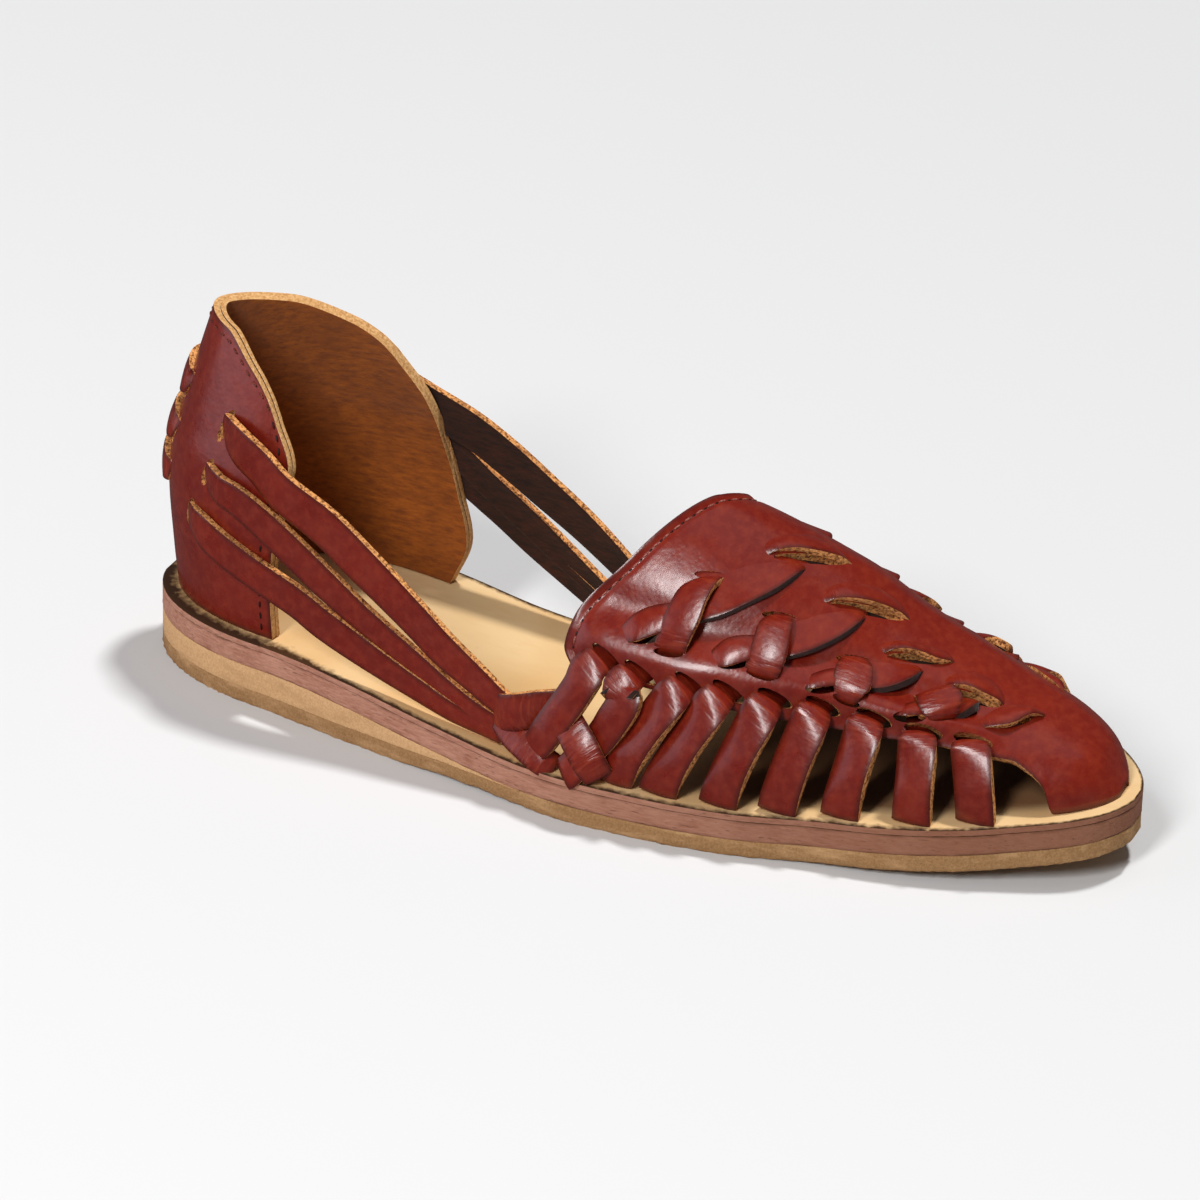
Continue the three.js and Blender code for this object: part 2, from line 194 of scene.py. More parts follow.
def column(rows, key, first="at"):
    """A smooth curve through one column of a table, without overshoot between its rows."""
    x, y = rows[first], rows[key]
    slope = np.diff(y) / np.diff(x)
    tangent = np.zeros(len(x))
    tangent[0], tangent[-1] = slope[0], slope[-1]
    for i in range(1, len(x) - 1):
        before, after = slope[i - 1], slope[i]
        tangent[i] = 0 if before * after <= 0 else 2 * before * after / (before + after)

    def curve(at):
        place = np.clip(at, x[0], x[-1])
        k = np.clip(np.searchsorted(x, place, side="right") - 1, 0, len(x) - 2)
        step = x[k + 1] - x[k]
        s = (place - x[k]) / step
        return bent_step(y[k], y[k + 1], tangent[k] * step, tangent[k + 1] * step, s)

    return curve


def mix(low, high, share):
    return low + (high - low) * share


def ease(share):
    share = np.clip(share, 0, 1)
    return share * share * (3 - 2 * share)


def unit(vectors):
    return vectors / np.maximum(np.linalg.norm(vectors, axis=-1, keepdims=True), 1e-9)


def stack(x, y, z):
    return np.stack(np.broadcast_arrays(x, y, z), axis=-1)


def round_off(share, power):
    """Half width, as a share, from the tip of a rounded end to where its curve is full."""
    return (1 - np.clip(1 - share, 0, 1) ** power) ** (1 / power)


middle_at = column(OUTLINE, "middle")
half_at = column(OUTLINE, "half")
vamp_height = column(VAMP, "height")
vamp_ridge = column(VAMP, "ridge")
vamp_inset = column(VAMP, "inset")
vamp_lateral = column(VAMP, "lateral")
vamp_medial = column(VAMP, "medial")
throat_at = column(THROAT, "start")
saddle_edge = column(SADDLE_EDGE, "girth")
leg_top = column(LEGS, "top", "leg")
leg_girth = column(LEGS, "girth", "leg")
leg_foot = column(LEGS, "foot", "leg")
leg_medial = column(LEGS, "medial", "leg")
lean = column(LEAN, "inset")
rim_height = column(RIM, "height")
wing_medial = column(WING_FRONT, "medial")
wing_lateral = column(WING_FRONT, "lateral")


def edge(t, side):
    """Edge of the sole at a share of its length; side is +1 lateral or -1 medial."""
    width = half_at(t) * round_off(t / HEEL_CAP, 2) * round_off((1 - t) / TOE_CAP, TOE_POWER)
    return middle_at(t) + side * width


def lift(t):
    return HEEL_LIFT * (1 - ease((t - LIFT_ENDS[0]) / (LIFT_ENDS[1] - LIFT_ENDS[0])))


def spring(t):
    return TOE_SPRING * np.clip((t - SPRING_START) / (1 - SPRING_START), 0, 1) ** 2


def arch(t):
    share = np.clip((t - ARCH_ENDS[0]) / (ARCH_ENDS[1] - ARCH_ENDS[0]), 0, 1)
    return ARCH_RISE * np.sin(np.pi * share) ** 2


def outsole_top(t):
    return OUTSOLE_THICK + spring(t)


def midsole_foot(t):
    return outsole_top(t) + FIT_GAP + lift(t)


def insole_foot(t):
    return midsole_foot(t) + MIDSOLE_THICK + FIT_GAP


def footbed(y):
    """Height of the insole's face, on which the vamp and the counter stand."""
    return insole_foot(y / SOLE_LENGTH) + INSOLE_THICK + FIT_GAP


def vamp(y, girth):
    """A point on the vamp: y along the foot, girth from -1 medial to +1 lateral."""
    y, girth = np.broadcast_arrays(np.asarray(y, float), np.asarray(girth, float))
    t = y / SOLE_LENGTH
    side = np.where(girth > 0, 1, -1)
    ridge = vamp_ridge(y)
    rounding = round_off((TOE_TIP - y) / (TOE_CAP * SOLE_LENGTH), TOE_POWER)
    foot = middle_at(t) + side * (half_at(t) - vamp_inset(y)) * rounding
    reach = np.abs(foot - ridge)
    power = np.where(side > 0, vamp_lateral(y), vamp_medial(y))
    turn = (1 - np.minimum(1, np.abs(girth))) * np.pi / 2
    out = np.cos(turn) ** (2 / power)
    up = np.sin(turn) ** (2 / power)
    rise = np.maximum(LEAST_RIDGE, vamp_height(y)) * up
    return stack(ridge + side * reach * out, y, footbed(y) + rise)


def vamp_slopes(y, girth):
    """How the vamp runs with y and with girth, and its outward normal."""
    small_y, small_girth = SLOPE_STEPS
    girth = np.clip(girth, -1 + small_girth, 1 - small_girth)
    with_y = (vamp(y + small_y, girth) - vamp(y - small_y, girth)) / (2 * small_y)
    with_girth = (vamp(y, girth + small_girth) - vamp(y, girth - small_girth)) / (2 * small_girth)
    return with_y, with_girth, unit(np.cross(with_girth, with_y))


def on_vamp(y, girth, rise):
    """A place that stands proud of the vamp by rise."""
    normal = vamp_slopes(y, girth)[2]
    return vamp(y, girth) + normal * np.asarray(rise, float)[..., None]


def heel_station(walk):
    """Share of the sole's length at a walk round the heel, in radians from its back."""
    turn = np.abs(walk)
    quarter = np.pi / 2
    return np.where(turn < quarter, HEEL_CAP * (1 - np.cos(turn)), HEEL_CAP * (1 + turn - quarter))


def walk_to(y):
    """The walk round the heel that reaches a distance from its back."""
    share = y / SOLE_LENGTH / HEEL_CAP
    return np.where(share < 1, np.arccos(np.clip(1 - share, -1, 1)), np.pi / 2 + share - 1)


def heel_plan(walk):
    """The place on the sole's edge that a walk round the heel reaches."""
    t = heel_station(walk)
    return stack(edge(t, np.where(walk < 0, -1, 1)), t * SOLE_LENGTH, 0)


def counter(walk, up, depth=0.0):
    """A point on the counter's outer skin, then inwards by depth."""
    walk, up, depth = (np.asarray(value, float) for value in (walk, up, depth))
    along = unit(heel_plan(walk + WALK_STEP) - heel_plan(walk - WALK_STEP))
    inward = stack(-along[..., 1], along[..., 0], 0)
    place = heel_plan(walk) + inward * (lean(up) + depth)[..., None]
    return place + stack(0, 0, footbed(place[..., 1]) + up)


def counter_share(across, along):
    """Walk and height on the counter from its two shares."""
    share = 2 * across - 1
    front = np.where(share < 0, wing_medial(along), wing_lateral(along))
    return share * walk_to(front), along * rim_height(share)


def counter_normal(walk, up):
    """The counter's outward direction."""
    around = counter(walk + WALK_STEP, up) - counter(walk - WALK_STEP, up)
    rising = counter(walk, up + 1) - counter(walk, up - 1)
    return unit(np.cross(around, rising))


def frame_shift():
    """From the last's own origin to the CAD frame, in millimetres."""
    low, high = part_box("outsole")
    t = np.linspace(*WIDEST, 400)
    middle = (edge(t, -1).min() + edge(t, 1).max()) / 2
    heel = END_SHARE * SOLE_LENGTH
    return np.array([(low.x + high.x) / 2 / MM - middle, low.y / MM - heel, low.z / MM])


SHIFT = frame_shift()


# ---- mesh helpers -------------------------------------------------------------------
FAR = 99.0  # a distance from any cut edge, in mm, past all burnishing
CUT_CORNER = math.radians(55)  # a sharper corner is a cut edge and gets rounded
STRAP_ACROSS = 8


def size(name):
    """One of the scene's sizes, in millimetres."""
    return getattr(bpy.context.scene.sandal_sizes, name) / MM


def read_points(piece):
    points = np.empty(len(piece.data.vertices) * 3)
    piece.data.vertices.foreach_get("co", points)
    return points.reshape(-1, 3)


def write_points(piece, places):
    """Moves a piece's vertices to places given in the last's millimetres."""
    piece.data.vertices.foreach_set("co", ((places + SHIFT) * MM).ravel())
    piece.data.update()


def added(name):
    """Names the object that an operator has just added."""
    piece = bpy.context.object
    piece.name = name
    piece.data.name = name
    return piece


def only(piece):
    bpy.ops.object.select_all(action="DESELECT")
    piece.select_set(True)
    bpy.context.view_layer.objects.active = piece


def modify(piece, kind, **settings):
    """Adds one modifier and applies it."""
    only(piece)
    modifier = piece.modifiers.new(kind, kind)
    for key, value in settings.items():
        setattr(modifier, key, value)
    bpy.ops.object.modifier_apply(modifier=modifier.name)


def attribute(piece, name, values):
    layer = piece.data.attributes.new(name, "FLOAT", "POINT")
    layer.data.foreach_set("value", np.asarray(values, np.float32))


def sheet(name, across, along, place, bend=None, cut_sides=(1, 1, 1, 1)):
    """A grid shaped by place(u, v); its UV map and its distance to a cut edge are in mm."""
    bpy.ops.object.select_all(action="DESELECT")
    bpy.ops.mesh.primitive_grid_add(x_subdivisions=across, y_subdivisions=along, size=1)
    piece = added(name)
    flat = read_points(piece)
    u, v = flat[:, 0] + 0.5, flat[:, 1] + 0.5
    places = place(u, v)
    write_points(piece, places)
    order = np.lexsort((np.round(u, 5), np.round(v, 5)))
    net = places[order].reshape(along + 1, across + 1, 3)
    wide = np.linalg.norm(np.diff(net, axis=1), axis=2).cumsum(1)
    wide = np.concatenate([np.zeros((along + 1, 1)), wide], 1)
    tall = np.linalg.norm(np.diff(net, axis=0), axis=2).cumsum(0)
    tall = np.concatenate([np.zeros((1, across + 1)), tall], 0)
    distances = (wide, wide[:, -1:] - wide, tall, tall[-1:] - tall)
    kept = [far if is_cut else far + FAR for far, is_cut in zip(distances, cut_sides)]
    nearest = np.minimum.reduce(kept)
    spread = np.empty((len(u), 3))
    centred = wide - wide[:, -1:] / 2
    spread[order] = np.stack([centred.ravel(), tall.ravel(), nearest.ravel()], 1)
    attribute(piece, "cut_edge", spread[:, 2])
    attribute(piece, "bend", np.zeros(len(u)) if bend is None else bend(u, v))
    corners = np.empty(len(piece.data.loops), int)
    piece.data.loops.foreach_get("vertex_index", corners)
    piece.data.uv_layers[0].data.foreach_set("uv", spread[corners, :2].ravel())
    return piece


def smooth(piece, angle=42):
    only(piece)
    bpy.ops.object.shade_smooth_by_angle(angle=math.radians(angle))


def thicken(piece, thick, rounding, materials):
    """Gives a sheet its wall, inwards from its grain side, with its cut edges rounded.

    The materials are those of the grain side, the cut edge and the flesh side.
    """
    for material in materials:
        piece.data.materials.append(material)
    modify(
        piece, "SOLIDIFY", thickness=thick * MM, offset=-1, use_even_offset=False,
        material_offset=2, material_offset_rim=1,
    )
    modify(
        piece, "BEVEL", width=rounding * MM, segments=2, limit_method="ANGLE",
        angle_limit=CUT_CORNER,
    )
    smooth(piece)
    return piece


def steps(line):
    """The distance from each row of a line to the next."""
    return np.linalg.norm(np.diff(line[:, :3], axis=0), axis=1)


def through(rows, count):
    """A smooth line through rows whose first three columns are a place, evenly spaced."""
    rows = np.asarray(rows, float)
    gaps = np.maximum(steps(rows), 1e-6) ** 0.5
    knots = np.concatenate([[0], gaps.cumsum()])
    slopes = np.diff(rows, axis=0) / gaps[:, None]
    tangents = np.empty_like(rows)
    tangents[0], tangents[-1] = slopes[0], slopes[-1]
    for i in range(1, len(rows) - 1):
        whole = (rows[i + 1] - rows[i - 1]) / (knots[i + 1] - knots[i - 1])
        tangents[i] = slopes[i - 1] - whole + slopes[i]
    fine = np.linspace(0, knots[-1], 24 * len(rows))
    k = np.clip(np.searchsorted(knots, fine, side="right") - 1, 0, len(rows) - 2)
    step = gaps[k][:, None]
    s = ((fine - knots[k]) / gaps[k])[:, None]
    line = bent_step(rows[k], rows[k + 1], tangents[k] * step, tangents[k + 1] * step, s)
    walked = np.concatenate([[0], steps(line).cumsum()])
    even = np.linspace(0, walked[-1], count)
    return np.stack([np.interp(even, walked, line[:, c]) for c in range(rows.shape[1])], 1)


def sampled(line, v):
    """A line's rows at shares v of its length."""
    at = np.linspace(0, 1, len(line))
    return np.stack([np.interp(v, at, line[:, c]) for c in range(line.shape[1])], 1)


def bent_near(folds, length):
    """How bent a strip is, from its folds: each a share of its length and a reach in mm."""

    def bend(u, v):
        near = np.zeros_like(v)
        for at, reach in folds:
            near = np.maximum(near, np.exp(-(((v - at) * length / reach) ** 2)))
        return near

    return bend


def strap(name, rows, thick, along, crown, folds):
    """A flat strap. A row is a place, the direction across the strap, and its width."""
    line = through(rows, along * 2 + 1)
    ahead = unit(np.gradient(line[:, :3], axis=0))
    side = unit(line[:, 3:6] - ahead * (line[:, 3:6] * ahead).sum(1, keepdims=True))
    full = np.concatenate([line[:, :3], side, np.cross(side, ahead), line[:, 6:7]], 1)

    def place(u, v):
        row = sampled(full, v)
        across = 2 * u - 1
        out = row[:, :3] + row[:, 3:6] * (row[:, 9] / 2 * across)[:, None]
        return out - row[:, 6:9] * (crown * across**2)[:, None]

    piece = sheet(name, STRAP_ACROSS, along, place, bent_near(folds, steps(line).sum()))
    return thicken(piece, thick, size("edge_rounding"), strap_set())


def copies(name, base, places):
    """One mesh of many small copies of base; each place is a 4 by 4 matrix in the frame."""
    points = read_points(base)
    faces = [list(polygon.vertices) for polygon in base.data.polygons]
    all_points, all_faces = [], []
    for i, place in enumerate(places):
        turned = points @ place[:3, :3].T + place[:3, 3]
        all_points.append(turned)
        all_faces += [[corner + i * len(points) for corner in face] for face in faces]
    mesh = bpy.data.meshes.new(name)
    mesh.from_pydata(np.concatenate(all_points).tolist(), [], all_faces)
    piece = bpy.data.objects.new(name, mesh)
    bpy.context.collection.objects.link(piece)
    bpy.data.objects.remove(base)
    smooth(piece, 80)
    return piece


def pods(name, spots, segments=14, rings=9):
    """Ellipsoids joined as one mesh. A spot is centre, three axes and three diameters, in mm."""
    bpy.ops.object.select_all(action="DESELECT")
    bpy.ops.mesh.primitive_uv_sphere_add(segments=segments, ring_count=rings, radius=0.5)
    base = bpy.context.object
    places = []
    for centre, axes, diameters in spots:
        place = np.eye(4)
        place[:3, :3] = (np.array(axes).T * np.array(diameters)) * MM
        place[:3, 3] = (np.asarray(centre) + SHIFT) * MM
        places.append(place)
    return copies(name, base, places)


def cut(piece, cutter):
    """Cuts holes with the cutter's closed shapes; the cut faces get the raw leather."""
    raw = finish("raw")
    if raw.name not in piece.data.materials:
        piece.data.materials.append(raw)
    cutter.data.materials.append(raw)
    modify(piece, "BOOLEAN", operation="DIFFERENCE", object=cutter, solver="MANIFOLD")
    bpy.data.objects.remove(cutter)
    smooth(piece)


def stand_for(piece, slot, *nodes):
    """Puts a finished piece on the body and hides the solids it replaces; its slot is not used."""
    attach(piece, "root")
    if nodes:
        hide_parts(*nodes)
    return piece


# ---- materials ----------------------------------------------------------------------
def linear(hex_colour):
    """A colour given as sRGB hex, in linear light."""
    values = [int(hex_colour[i : i + 2], 16) / 255 for i in (1, 3, 5)]
    return tuple(
        value / 12.92 if value <= 0.04045 else ((value + 0.055) / 1.055) ** 2.4 for value in values
    )


def add(tree, kind, **settings):
    """Adds one node and returns its first output in use.

    A setting that starts with a capital is an input, given its value or the socket that
    feeds it, and is named by the input's identifier, with _ for a space.
    """
    node = tree.nodes.new("ShaderNode" + kind)
    for key, value in settings.items():
        if key[0].islower():
            setattr(node, key, value)
    for socket in node.inputs:
        value = settings.get(socket.identifier.replace(" ", "_"))
        if isinstance(value, bpy.types.NodeSocket):
            tree.links.new(value, socket)
        elif value is not None:
            socket.default_value = (*value[:3], 1) if socket.type == "RGBA" else value
    return next((socket for socket in node.outputs if socket.enabled), None)


def per_mm(spacing):
    """Scale of a pattern on coordinates in metres, for features of that size in mm."""
    return 1000 / spacing


def laid_over(tree, body, colour, pattern, low, high, least=0.0, most=1.0):
    """A colour laid over another by a share that follows a pattern from low to high."""
    share = add(
        tree, "MapRange", Value=pattern, From_Min=low, From_Max=high, To_Min=least, To_Max=most
    )
    return add(
        tree, "Mix", data_type="RGBA", Factor_Float=share, A_Color=body, B_Color=colour
    )


def relief(tree, *layers):
    """The surface's normal from layers of relief: a pattern, its strength and depth in mm."""
    normal = None
    for pattern, strength, depth in layers:
        normal = add(
            tree, "Bump", Height=pattern, Strength=strength, Distance=depth * MM, Normal=normal
        )
    return normal


def grain_leather(tree, place, skin, light, deep, burnt):
    """Full-grain cowhide, drum dyed, waxed and hand burnished.

    To the eye: a deep red that clouds between oxblood and cognac, darkens where it was
    burnished along cut edges, and breaks into fine parallel creases where it is bent; the
    wax gives a broad soft shine over a fine pebble.
    """
    cloud = add(tree, "TexNoise", Vector=place, Scale=per_mm(26), Detail=3, Roughness=0.6)
    fine = add(tree, "TexNoise", Vector=place, Scale=per_mm(2.4), Detail=4, Roughness=0.6)
    fuzz = add(tree, "TexNoise", Vector=place, Scale=per_mm(0.5), Detail=2, Roughness=0.55)
    wave = add(tree, "TexNoise", Vector=place, Scale=per_mm(9), Detail=2, Roughness=0.55)
    wax = add(tree, "TexNoise", Vector=place, Scale=per_mm(5), Detail=3, Roughness=0.55)
    pebble = add(
        tree, "TexVoronoi", feature="SMOOTH_F1", Vector=place, Scale=per_mm(1.1), Randomness=1
    )
    cut_edge = add(tree, "Attribute", attribute_name="cut_edge").node.outputs["Fac"]
    bent = add(tree, "Attribute", attribute_name="bend").node.outputs["Fac"]
    along = add(tree, "Mapping", Vector=add(tree, "UVMap"), Scale=(0.14, 0.95, 1))
    crease = add(
        tree, "TexNoise", Vector=along, Scale=1, Detail=2.5, Roughness=0.5, Distortion=0.6
    )
    folded = add(tree, "MapRange", Value=crease, From_Min=0.52, From_Max=0.66, To_Max=0.3)
    folded = add(tree, "Math", operation="MULTIPLY", Value=bent, Value_001=folded)
    depth = add(tree, "MapRange", Value=bent, To_Min=0.08)
    depth = add(tree, "Math", operation="MULTIPLY", Value=crease, Value_001=depth)
    body = laid_over(tree, deep, skin, cloud, 0.38, 0.66)
    body = laid_over(tree, body, light, fine, 0.42, 0.7, most=0.2)
    body = laid_over(tree, body, burnt, cut_edge, 0.2, 1.5, 0.65, 0)
    return {
        "Base_Color": laid_over(tree, body, light, folded, 0, 1),
        "Roughness": add(
            tree, "MapRange", Value=wax, From_Min=0.35, From_Max=0.7, To_Min=0.27, To_Max=0.38
        ),
        "Normal": relief(
            tree, (pebble, 0.3, 0.16), (fuzz, 0.12, 0.12), (wave, 0.35, 0.5), (depth, 0.3, 0.9)
        ),
        "Specular_IOR_Level": 0.42,
        "Coat_Weight": 0.2,
        "Coat_Roughness": 0.15,
    }


def raw_edge_leather(tree, place, fibres, pits):
    """The cut edge of vegetable-tanned leather, left raw.

    To the eye: orange tan, loose fibres and dark pits in layers along the edge, quite matt.
    """
    fibre = add(tree, "TexNoise", Vector=place, Scale=per_mm(0.8), Detail=4, Roughness=0.7)
    patch = add(tree, "TexNoise", Vector=place, Scale=per_mm(5), Detail=3, Roughness=0.6)
    body = laid_over(tree, pits, fibres, fibre, 0.38, 0.56)
    return {
        "Base_Color": laid_over(tree, body, pits, patch, 0.52, 0.72, most=0.45),
        "Roughness": 0.82,
        "Normal": relief(tree, (fibre, 0.8, 0.45)),
        "Specular_IOR_Level": 0.25,
    }


def collar_edge_leather(tree, place, pale, fibres):
    """The trimmed collar edge: two leathers glued flush and sanded pale.

    To the eye: a light tan band with loose straw-coloured fibres.
    """
    fibre = add(tree, "TexNoise", Vector=place, Scale=per_mm(0.7), Detail=4, Roughness=0.7)
    return {
        "Base_Color": laid_over(tree, fibres, pale, fibre, 0.35, 0.65),
        "Roughness": 0.8,
        "Normal": relief(tree, (fibre, 0.7, 0.4)),
        "Specular_IOR_Level": 0.25,
    }


def flesh_leather(tree, place, nap_colour, deep):
    """The flesh side of the hide, brushed.

    To the eye: a dark suede nap with long scratches and no shine.
    """
    drawn = add(tree, "Mapping", Vector=place, Scale=(1, 0.25, 1))
    nap = add(tree, "TexNoise", Vector=drawn, Scale=per_mm(1.1), Detail=5, Roughness=0.65)
    patch = add(tree, "TexNoise", Vector=place, Scale=per_mm(14), Detail=2, Roughness=0.5)
    body = laid_over(tree, deep, nap_colour, nap, 0.35, 0.7)
    return {
        "Base_Color": laid_over(tree, body, deep, patch, 0.45, 0.7, most=0.5),
        "Roughness": 0.78,
        "Normal": relief(tree, (nap, 0.55, 0.35)),
        "Specular_IOR_Level": 0.25,
        "Sheen_Weight": 0.2,
        "Sheen_Roughness": 0.5,
    }


def insole_leather(tree, place, pale, warm, dyed, burnt):
    """Smooth vegetable-tanned insole leather with a burnished edge.

    To the eye: pale honey, faint growth lines, darkening to umber along the burnished edge,
    with painted shade of the counter round the heel, and painted shade under the vamp.
    """
    drawn = add(tree, "Mapping", Vector=place, Scale=(1, 0.3, 1))
    lines = add(tree, "TexNoise", Vector=drawn, Scale=per_mm(3.2), Detail=4, Roughness=0.6)
    cloud = add(tree, "TexNoise", Vector=place, Scale=per_mm(40), Detail=2, Roughness=0.5)
    blot = add(tree, "TexNoise", Vector=place, Scale=per_mm(1.8), Detail=4, Roughness=0.55)
    pores = add(tree, "TexNoise", Vector=place, Scale=per_mm(0.5), Detail=3, Roughness=0.55)
    # Painted shade under the vamp, in the attribute named dye.
    rubbed = add(tree, "Attribute", attribute_name="dye").node.outputs["Fac"]
    # The burnished edge, widened round the heel by painted shade of the counter.
    burnish_and_shade = add(tree, "Attribute", attribute_name="burnish").node.outputs["Fac"]
    uneven = add(
        tree, "MapRange", Value=blot, From_Min=0.3, From_Max=0.7, To_Min=-0.18, To_Max=0.18
    )
    uneven = add(tree, "Math", operation="ADD", Value=burnish_and_shade, Value_001=uneven)
    body = laid_over(tree, pale, warm, cloud, 0.4, 0.65)
    body = laid_over(tree, body, warm, lines, 0.5, 0.72, most=0.35)
    # Painted shade under the vamp, in the colour named dyed.
    body = laid_over(tree, body, dyed, rubbed, 0, 1, most=0.85)
    return {
        # The colour burnt: the burnished edge and painted shade of the counter round the heel.
        "Base_Color": laid_over(tree, body, burnt, uneven, 0.15, 0.75),
        "Roughness": 0.55,
        "Normal": relief(tree, (pores, 0.12, 0.12), (lines, 0.15, 0.2)),
        "Specular_IOR_Level": 0.4,
    }


def stacked_leather(tree, place, side, light, dark, pit_colour, toe):
    """Midsole leather cut and sanded on its edge.

    To the eye: a salmon-pink side with fibres running along the sole, flecked with dark
    pits, and dark broken lines where the layers meet.
    """
    drawn = add(tree, "Mapping", Vector=place, Scale=(1, 0.22, 1.6))
    fibre = add(tree, "TexNoise", Vector=drawn, Scale=per_mm(0.9), Detail=5, Roughness=0.68)
    pits = add(tree, "TexNoise", Vector=drawn, Scale=per_mm(0.8), Detail=2, Roughness=0.5)
    gaps = add(tree, "TexNoise", Vector=drawn, Scale=per_mm(3), Detail=4, Roughness=0.55)
    patch = add(tree, "TexNoise", Vector=place, Scale=per_mm(12), Detail=3, Roughness=0.6)
    tooth = add(tree, "TexNoise", Vector=place, Scale=per_mm(0.35), Detail=2, Roughness=0.55)
    height = add(tree, "Attribute", attribute_name="height").node.outputs["Fac"]
    lengthwise = add(tree, "SeparateXYZ", Vector=place).node.outputs["Y"]
    lower = add(tree, "MapRange", Value=height, From_Max=0.12, To_Min=0.8, To_Max=0)
    upper = add(tree, "MapRange", Value=height, From_Min=0.85, To_Max=0.7)
    seam = add(tree, "Math", operation="MAXIMUM", Value=lower, Value_001=upper)
    gaps = add(tree, "MapRange", Value=gaps, From_Min=0.4, From_Max=0.6)
    seam = add(tree, "Math", operation="MULTIPLY", Value=seam, Value_001=gaps)
    body = laid_over(tree, dark, side, fibre, 0.34, 0.68)
    body = laid_over(tree, body, light, patch, 0.4, 0.7, most=0.4)
    body = laid_over(tree, body, toe, lengthwise, -0.03, 0.09, most=0.75)
    body = laid_over(tree, body, pit_colour, seam, 0, 1)
    return {
        "Base_Color": laid_over(tree, body, pit_colour, pits, 0.64, 0.72, most=0.6),
        "Roughness": 0.85,
        "Normal": relief(tree, (fibre, 0.6, 0.4), (tooth, 0.3, 0.2)),
        "Specular_IOR_Level": 0.25,
    }


def crepe_rubber(tree, place, sheet_colour, pits, dust):
    """Crepe rubber sheet, die cut and sanded.

    To the eye: a warm tan with a fine felt-like tooth, paler dust and a few darker drags.
    """
    tooth = add(tree, "TexNoise", Vector=place, Scale=per_mm(0.6), Detail=4, Roughness=0.7)
    drawn = add(tree, "Mapping", Vector=place, Scale=(1, 0.2, 1))
    drag = add(tree, "TexNoise", Vector=drawn, Scale=per_mm(3.5), Detail=4, Roughness=0.6)
    body = laid_over(tree, pits, sheet_colour, tooth, 0.3, 0.7)
    return {
        "Base_Color": laid_over(tree, body, dust, drag, 0.5, 0.75, most=0.5),
        "Roughness": 0.88,
        "Normal": relief(tree, (tooth, 0.5, 0.3)),
        "Specular_IOR_Level": 0.25,
    }


def waxed_thread(tree, place, ridge, groove):
    """Waxed linen thread, twisted.

    To the eye: small glossy twists, lighter on the ridges.
    """
    twist = add(tree, "TexNoise", Vector=place, Scale=per_mm(0.35), Detail=2, Roughness=0.5)
    return {
        "Base_Color": laid_over(tree, groove, ridge, twist, 0.35, 0.65),
        "Roughness": 0.6,
        "Normal": relief(tree, (twist, 0.5, 0.15)),
        "Specular_IOR_Level": 0.35,
    }


def studio_paper(tree, place, pale):
    """Seamless studio paper. To the eye: an even pale grey with no texture of its own."""
    cloud = add(tree, "TexNoise", Vector=place, Scale=per_mm(300), Detail=2, Roughness=0.55)
    tooth = add(tree, "TexNoise", Vector=place, Scale=per_mm(2), Detail=3, Roughness=0.55)
    return {
        "Base_Color": laid_over(tree, pale, [part * 0.99 for part in pale], cloud, 0, 1),
        "Roughness": 0.9,
        "Normal": relief(tree, (tooth, 0.02, 0.1)),
        "Specular_IOR_Level": 0.1,
    }


# The object's materials: the name, the surface and the scene's colours that go into it.
FINISHES = {
    "grain": (
        "leather_fullgrain_waxed", grain_leather, "grain", "grain_light", "grain_deep",
        "grain_burnt",
    ),
    "raw": ("leather_edge_raw", raw_edge_leather, "raw", "raw_dark"),
    "collar": ("leather_edge_collar", collar_edge_leather, "collar", "collar_dark"),
    "flesh": ("leather_flesh_brushed", flesh_leather, "flesh", "flesh_deep"),
    "lining": ("leather_lining_brushed", flesh_leather, "lining", "lining_deep"),
    # The insole's colours include painted shade under the vamp and round the heel.
    "insole": (
        "leather_insole_burnished", insole_leather, "insole", "insole_warm", "insole_dyed",
        "insole_burnt",
    ),
    "midsole": (
        "leather_midsole_sanded", stacked_leather, "midsole", "midsole_light", "midsole_dark",
        "midsole_pit", "midsole_toe",
    ),
    "outsole": ("rubber_crepe_sanded", crepe_rubber, "rubber", "rubber_dark", "wedge"),
    "wedge": ("rubber_crepe_wedge", crepe_rubber, "wedge", "wedge_dark", "rubber"),
    "thread": ("thread_linen_waxed", waxed_thread, "thread", "thread_dark"),
    "dyed_thread": ("thread_linen_dyed", waxed_thread, "thread_red", "hole"),
    # Dark thread for the counter's wings, and dark pods that stand in as painted shade of the
    # throat's awl holes.
    "dark_thread": ("thread_linen_dark", waxed_thread, "grain_burnt", "hole"),
    "paper": ("paper_studio_seamless", studio_paper, "floor"),
}


def finish(word):
    """One of the object's materials, made on first use."""
    name, surface, *tints = FINISHES[word]
    if name not in bpy.data.materials:
        material = bpy.data.materials.new(name)
        material.use_nodes = True
        tree = material.node_tree
        tree.nodes.clear()
        place = add(tree, "TexCoord").node.outputs["Object"]
        colours = [getattr(bpy.context.scene.sandal_colours, tint) for tint in tints]
        shader = add(tree, "BsdfPrincipled", **surface(tree, place, *colours))
        add(tree, "OutputMaterial", Surface=shader)
    return bpy.data.materials[name]


def strap_set():
    """The materials of a strap: its grain side, cut edge and flesh side."""
    return finish("grain"), finish("raw"), finish("flesh")


# ---- settings -----------------------------------------------------------------------
def length(name, description, millimetres):
    return FloatProperty(
        name=name, description=description, default=millimetres * MM, unit="LENGTH", min=0
    )


def colour(name, description, hex_colour):
    return FloatVectorProperty(
        name=name, description=description, default=linear(hex_colour), subtype="COLOR",
        min=0, max=1,
    )


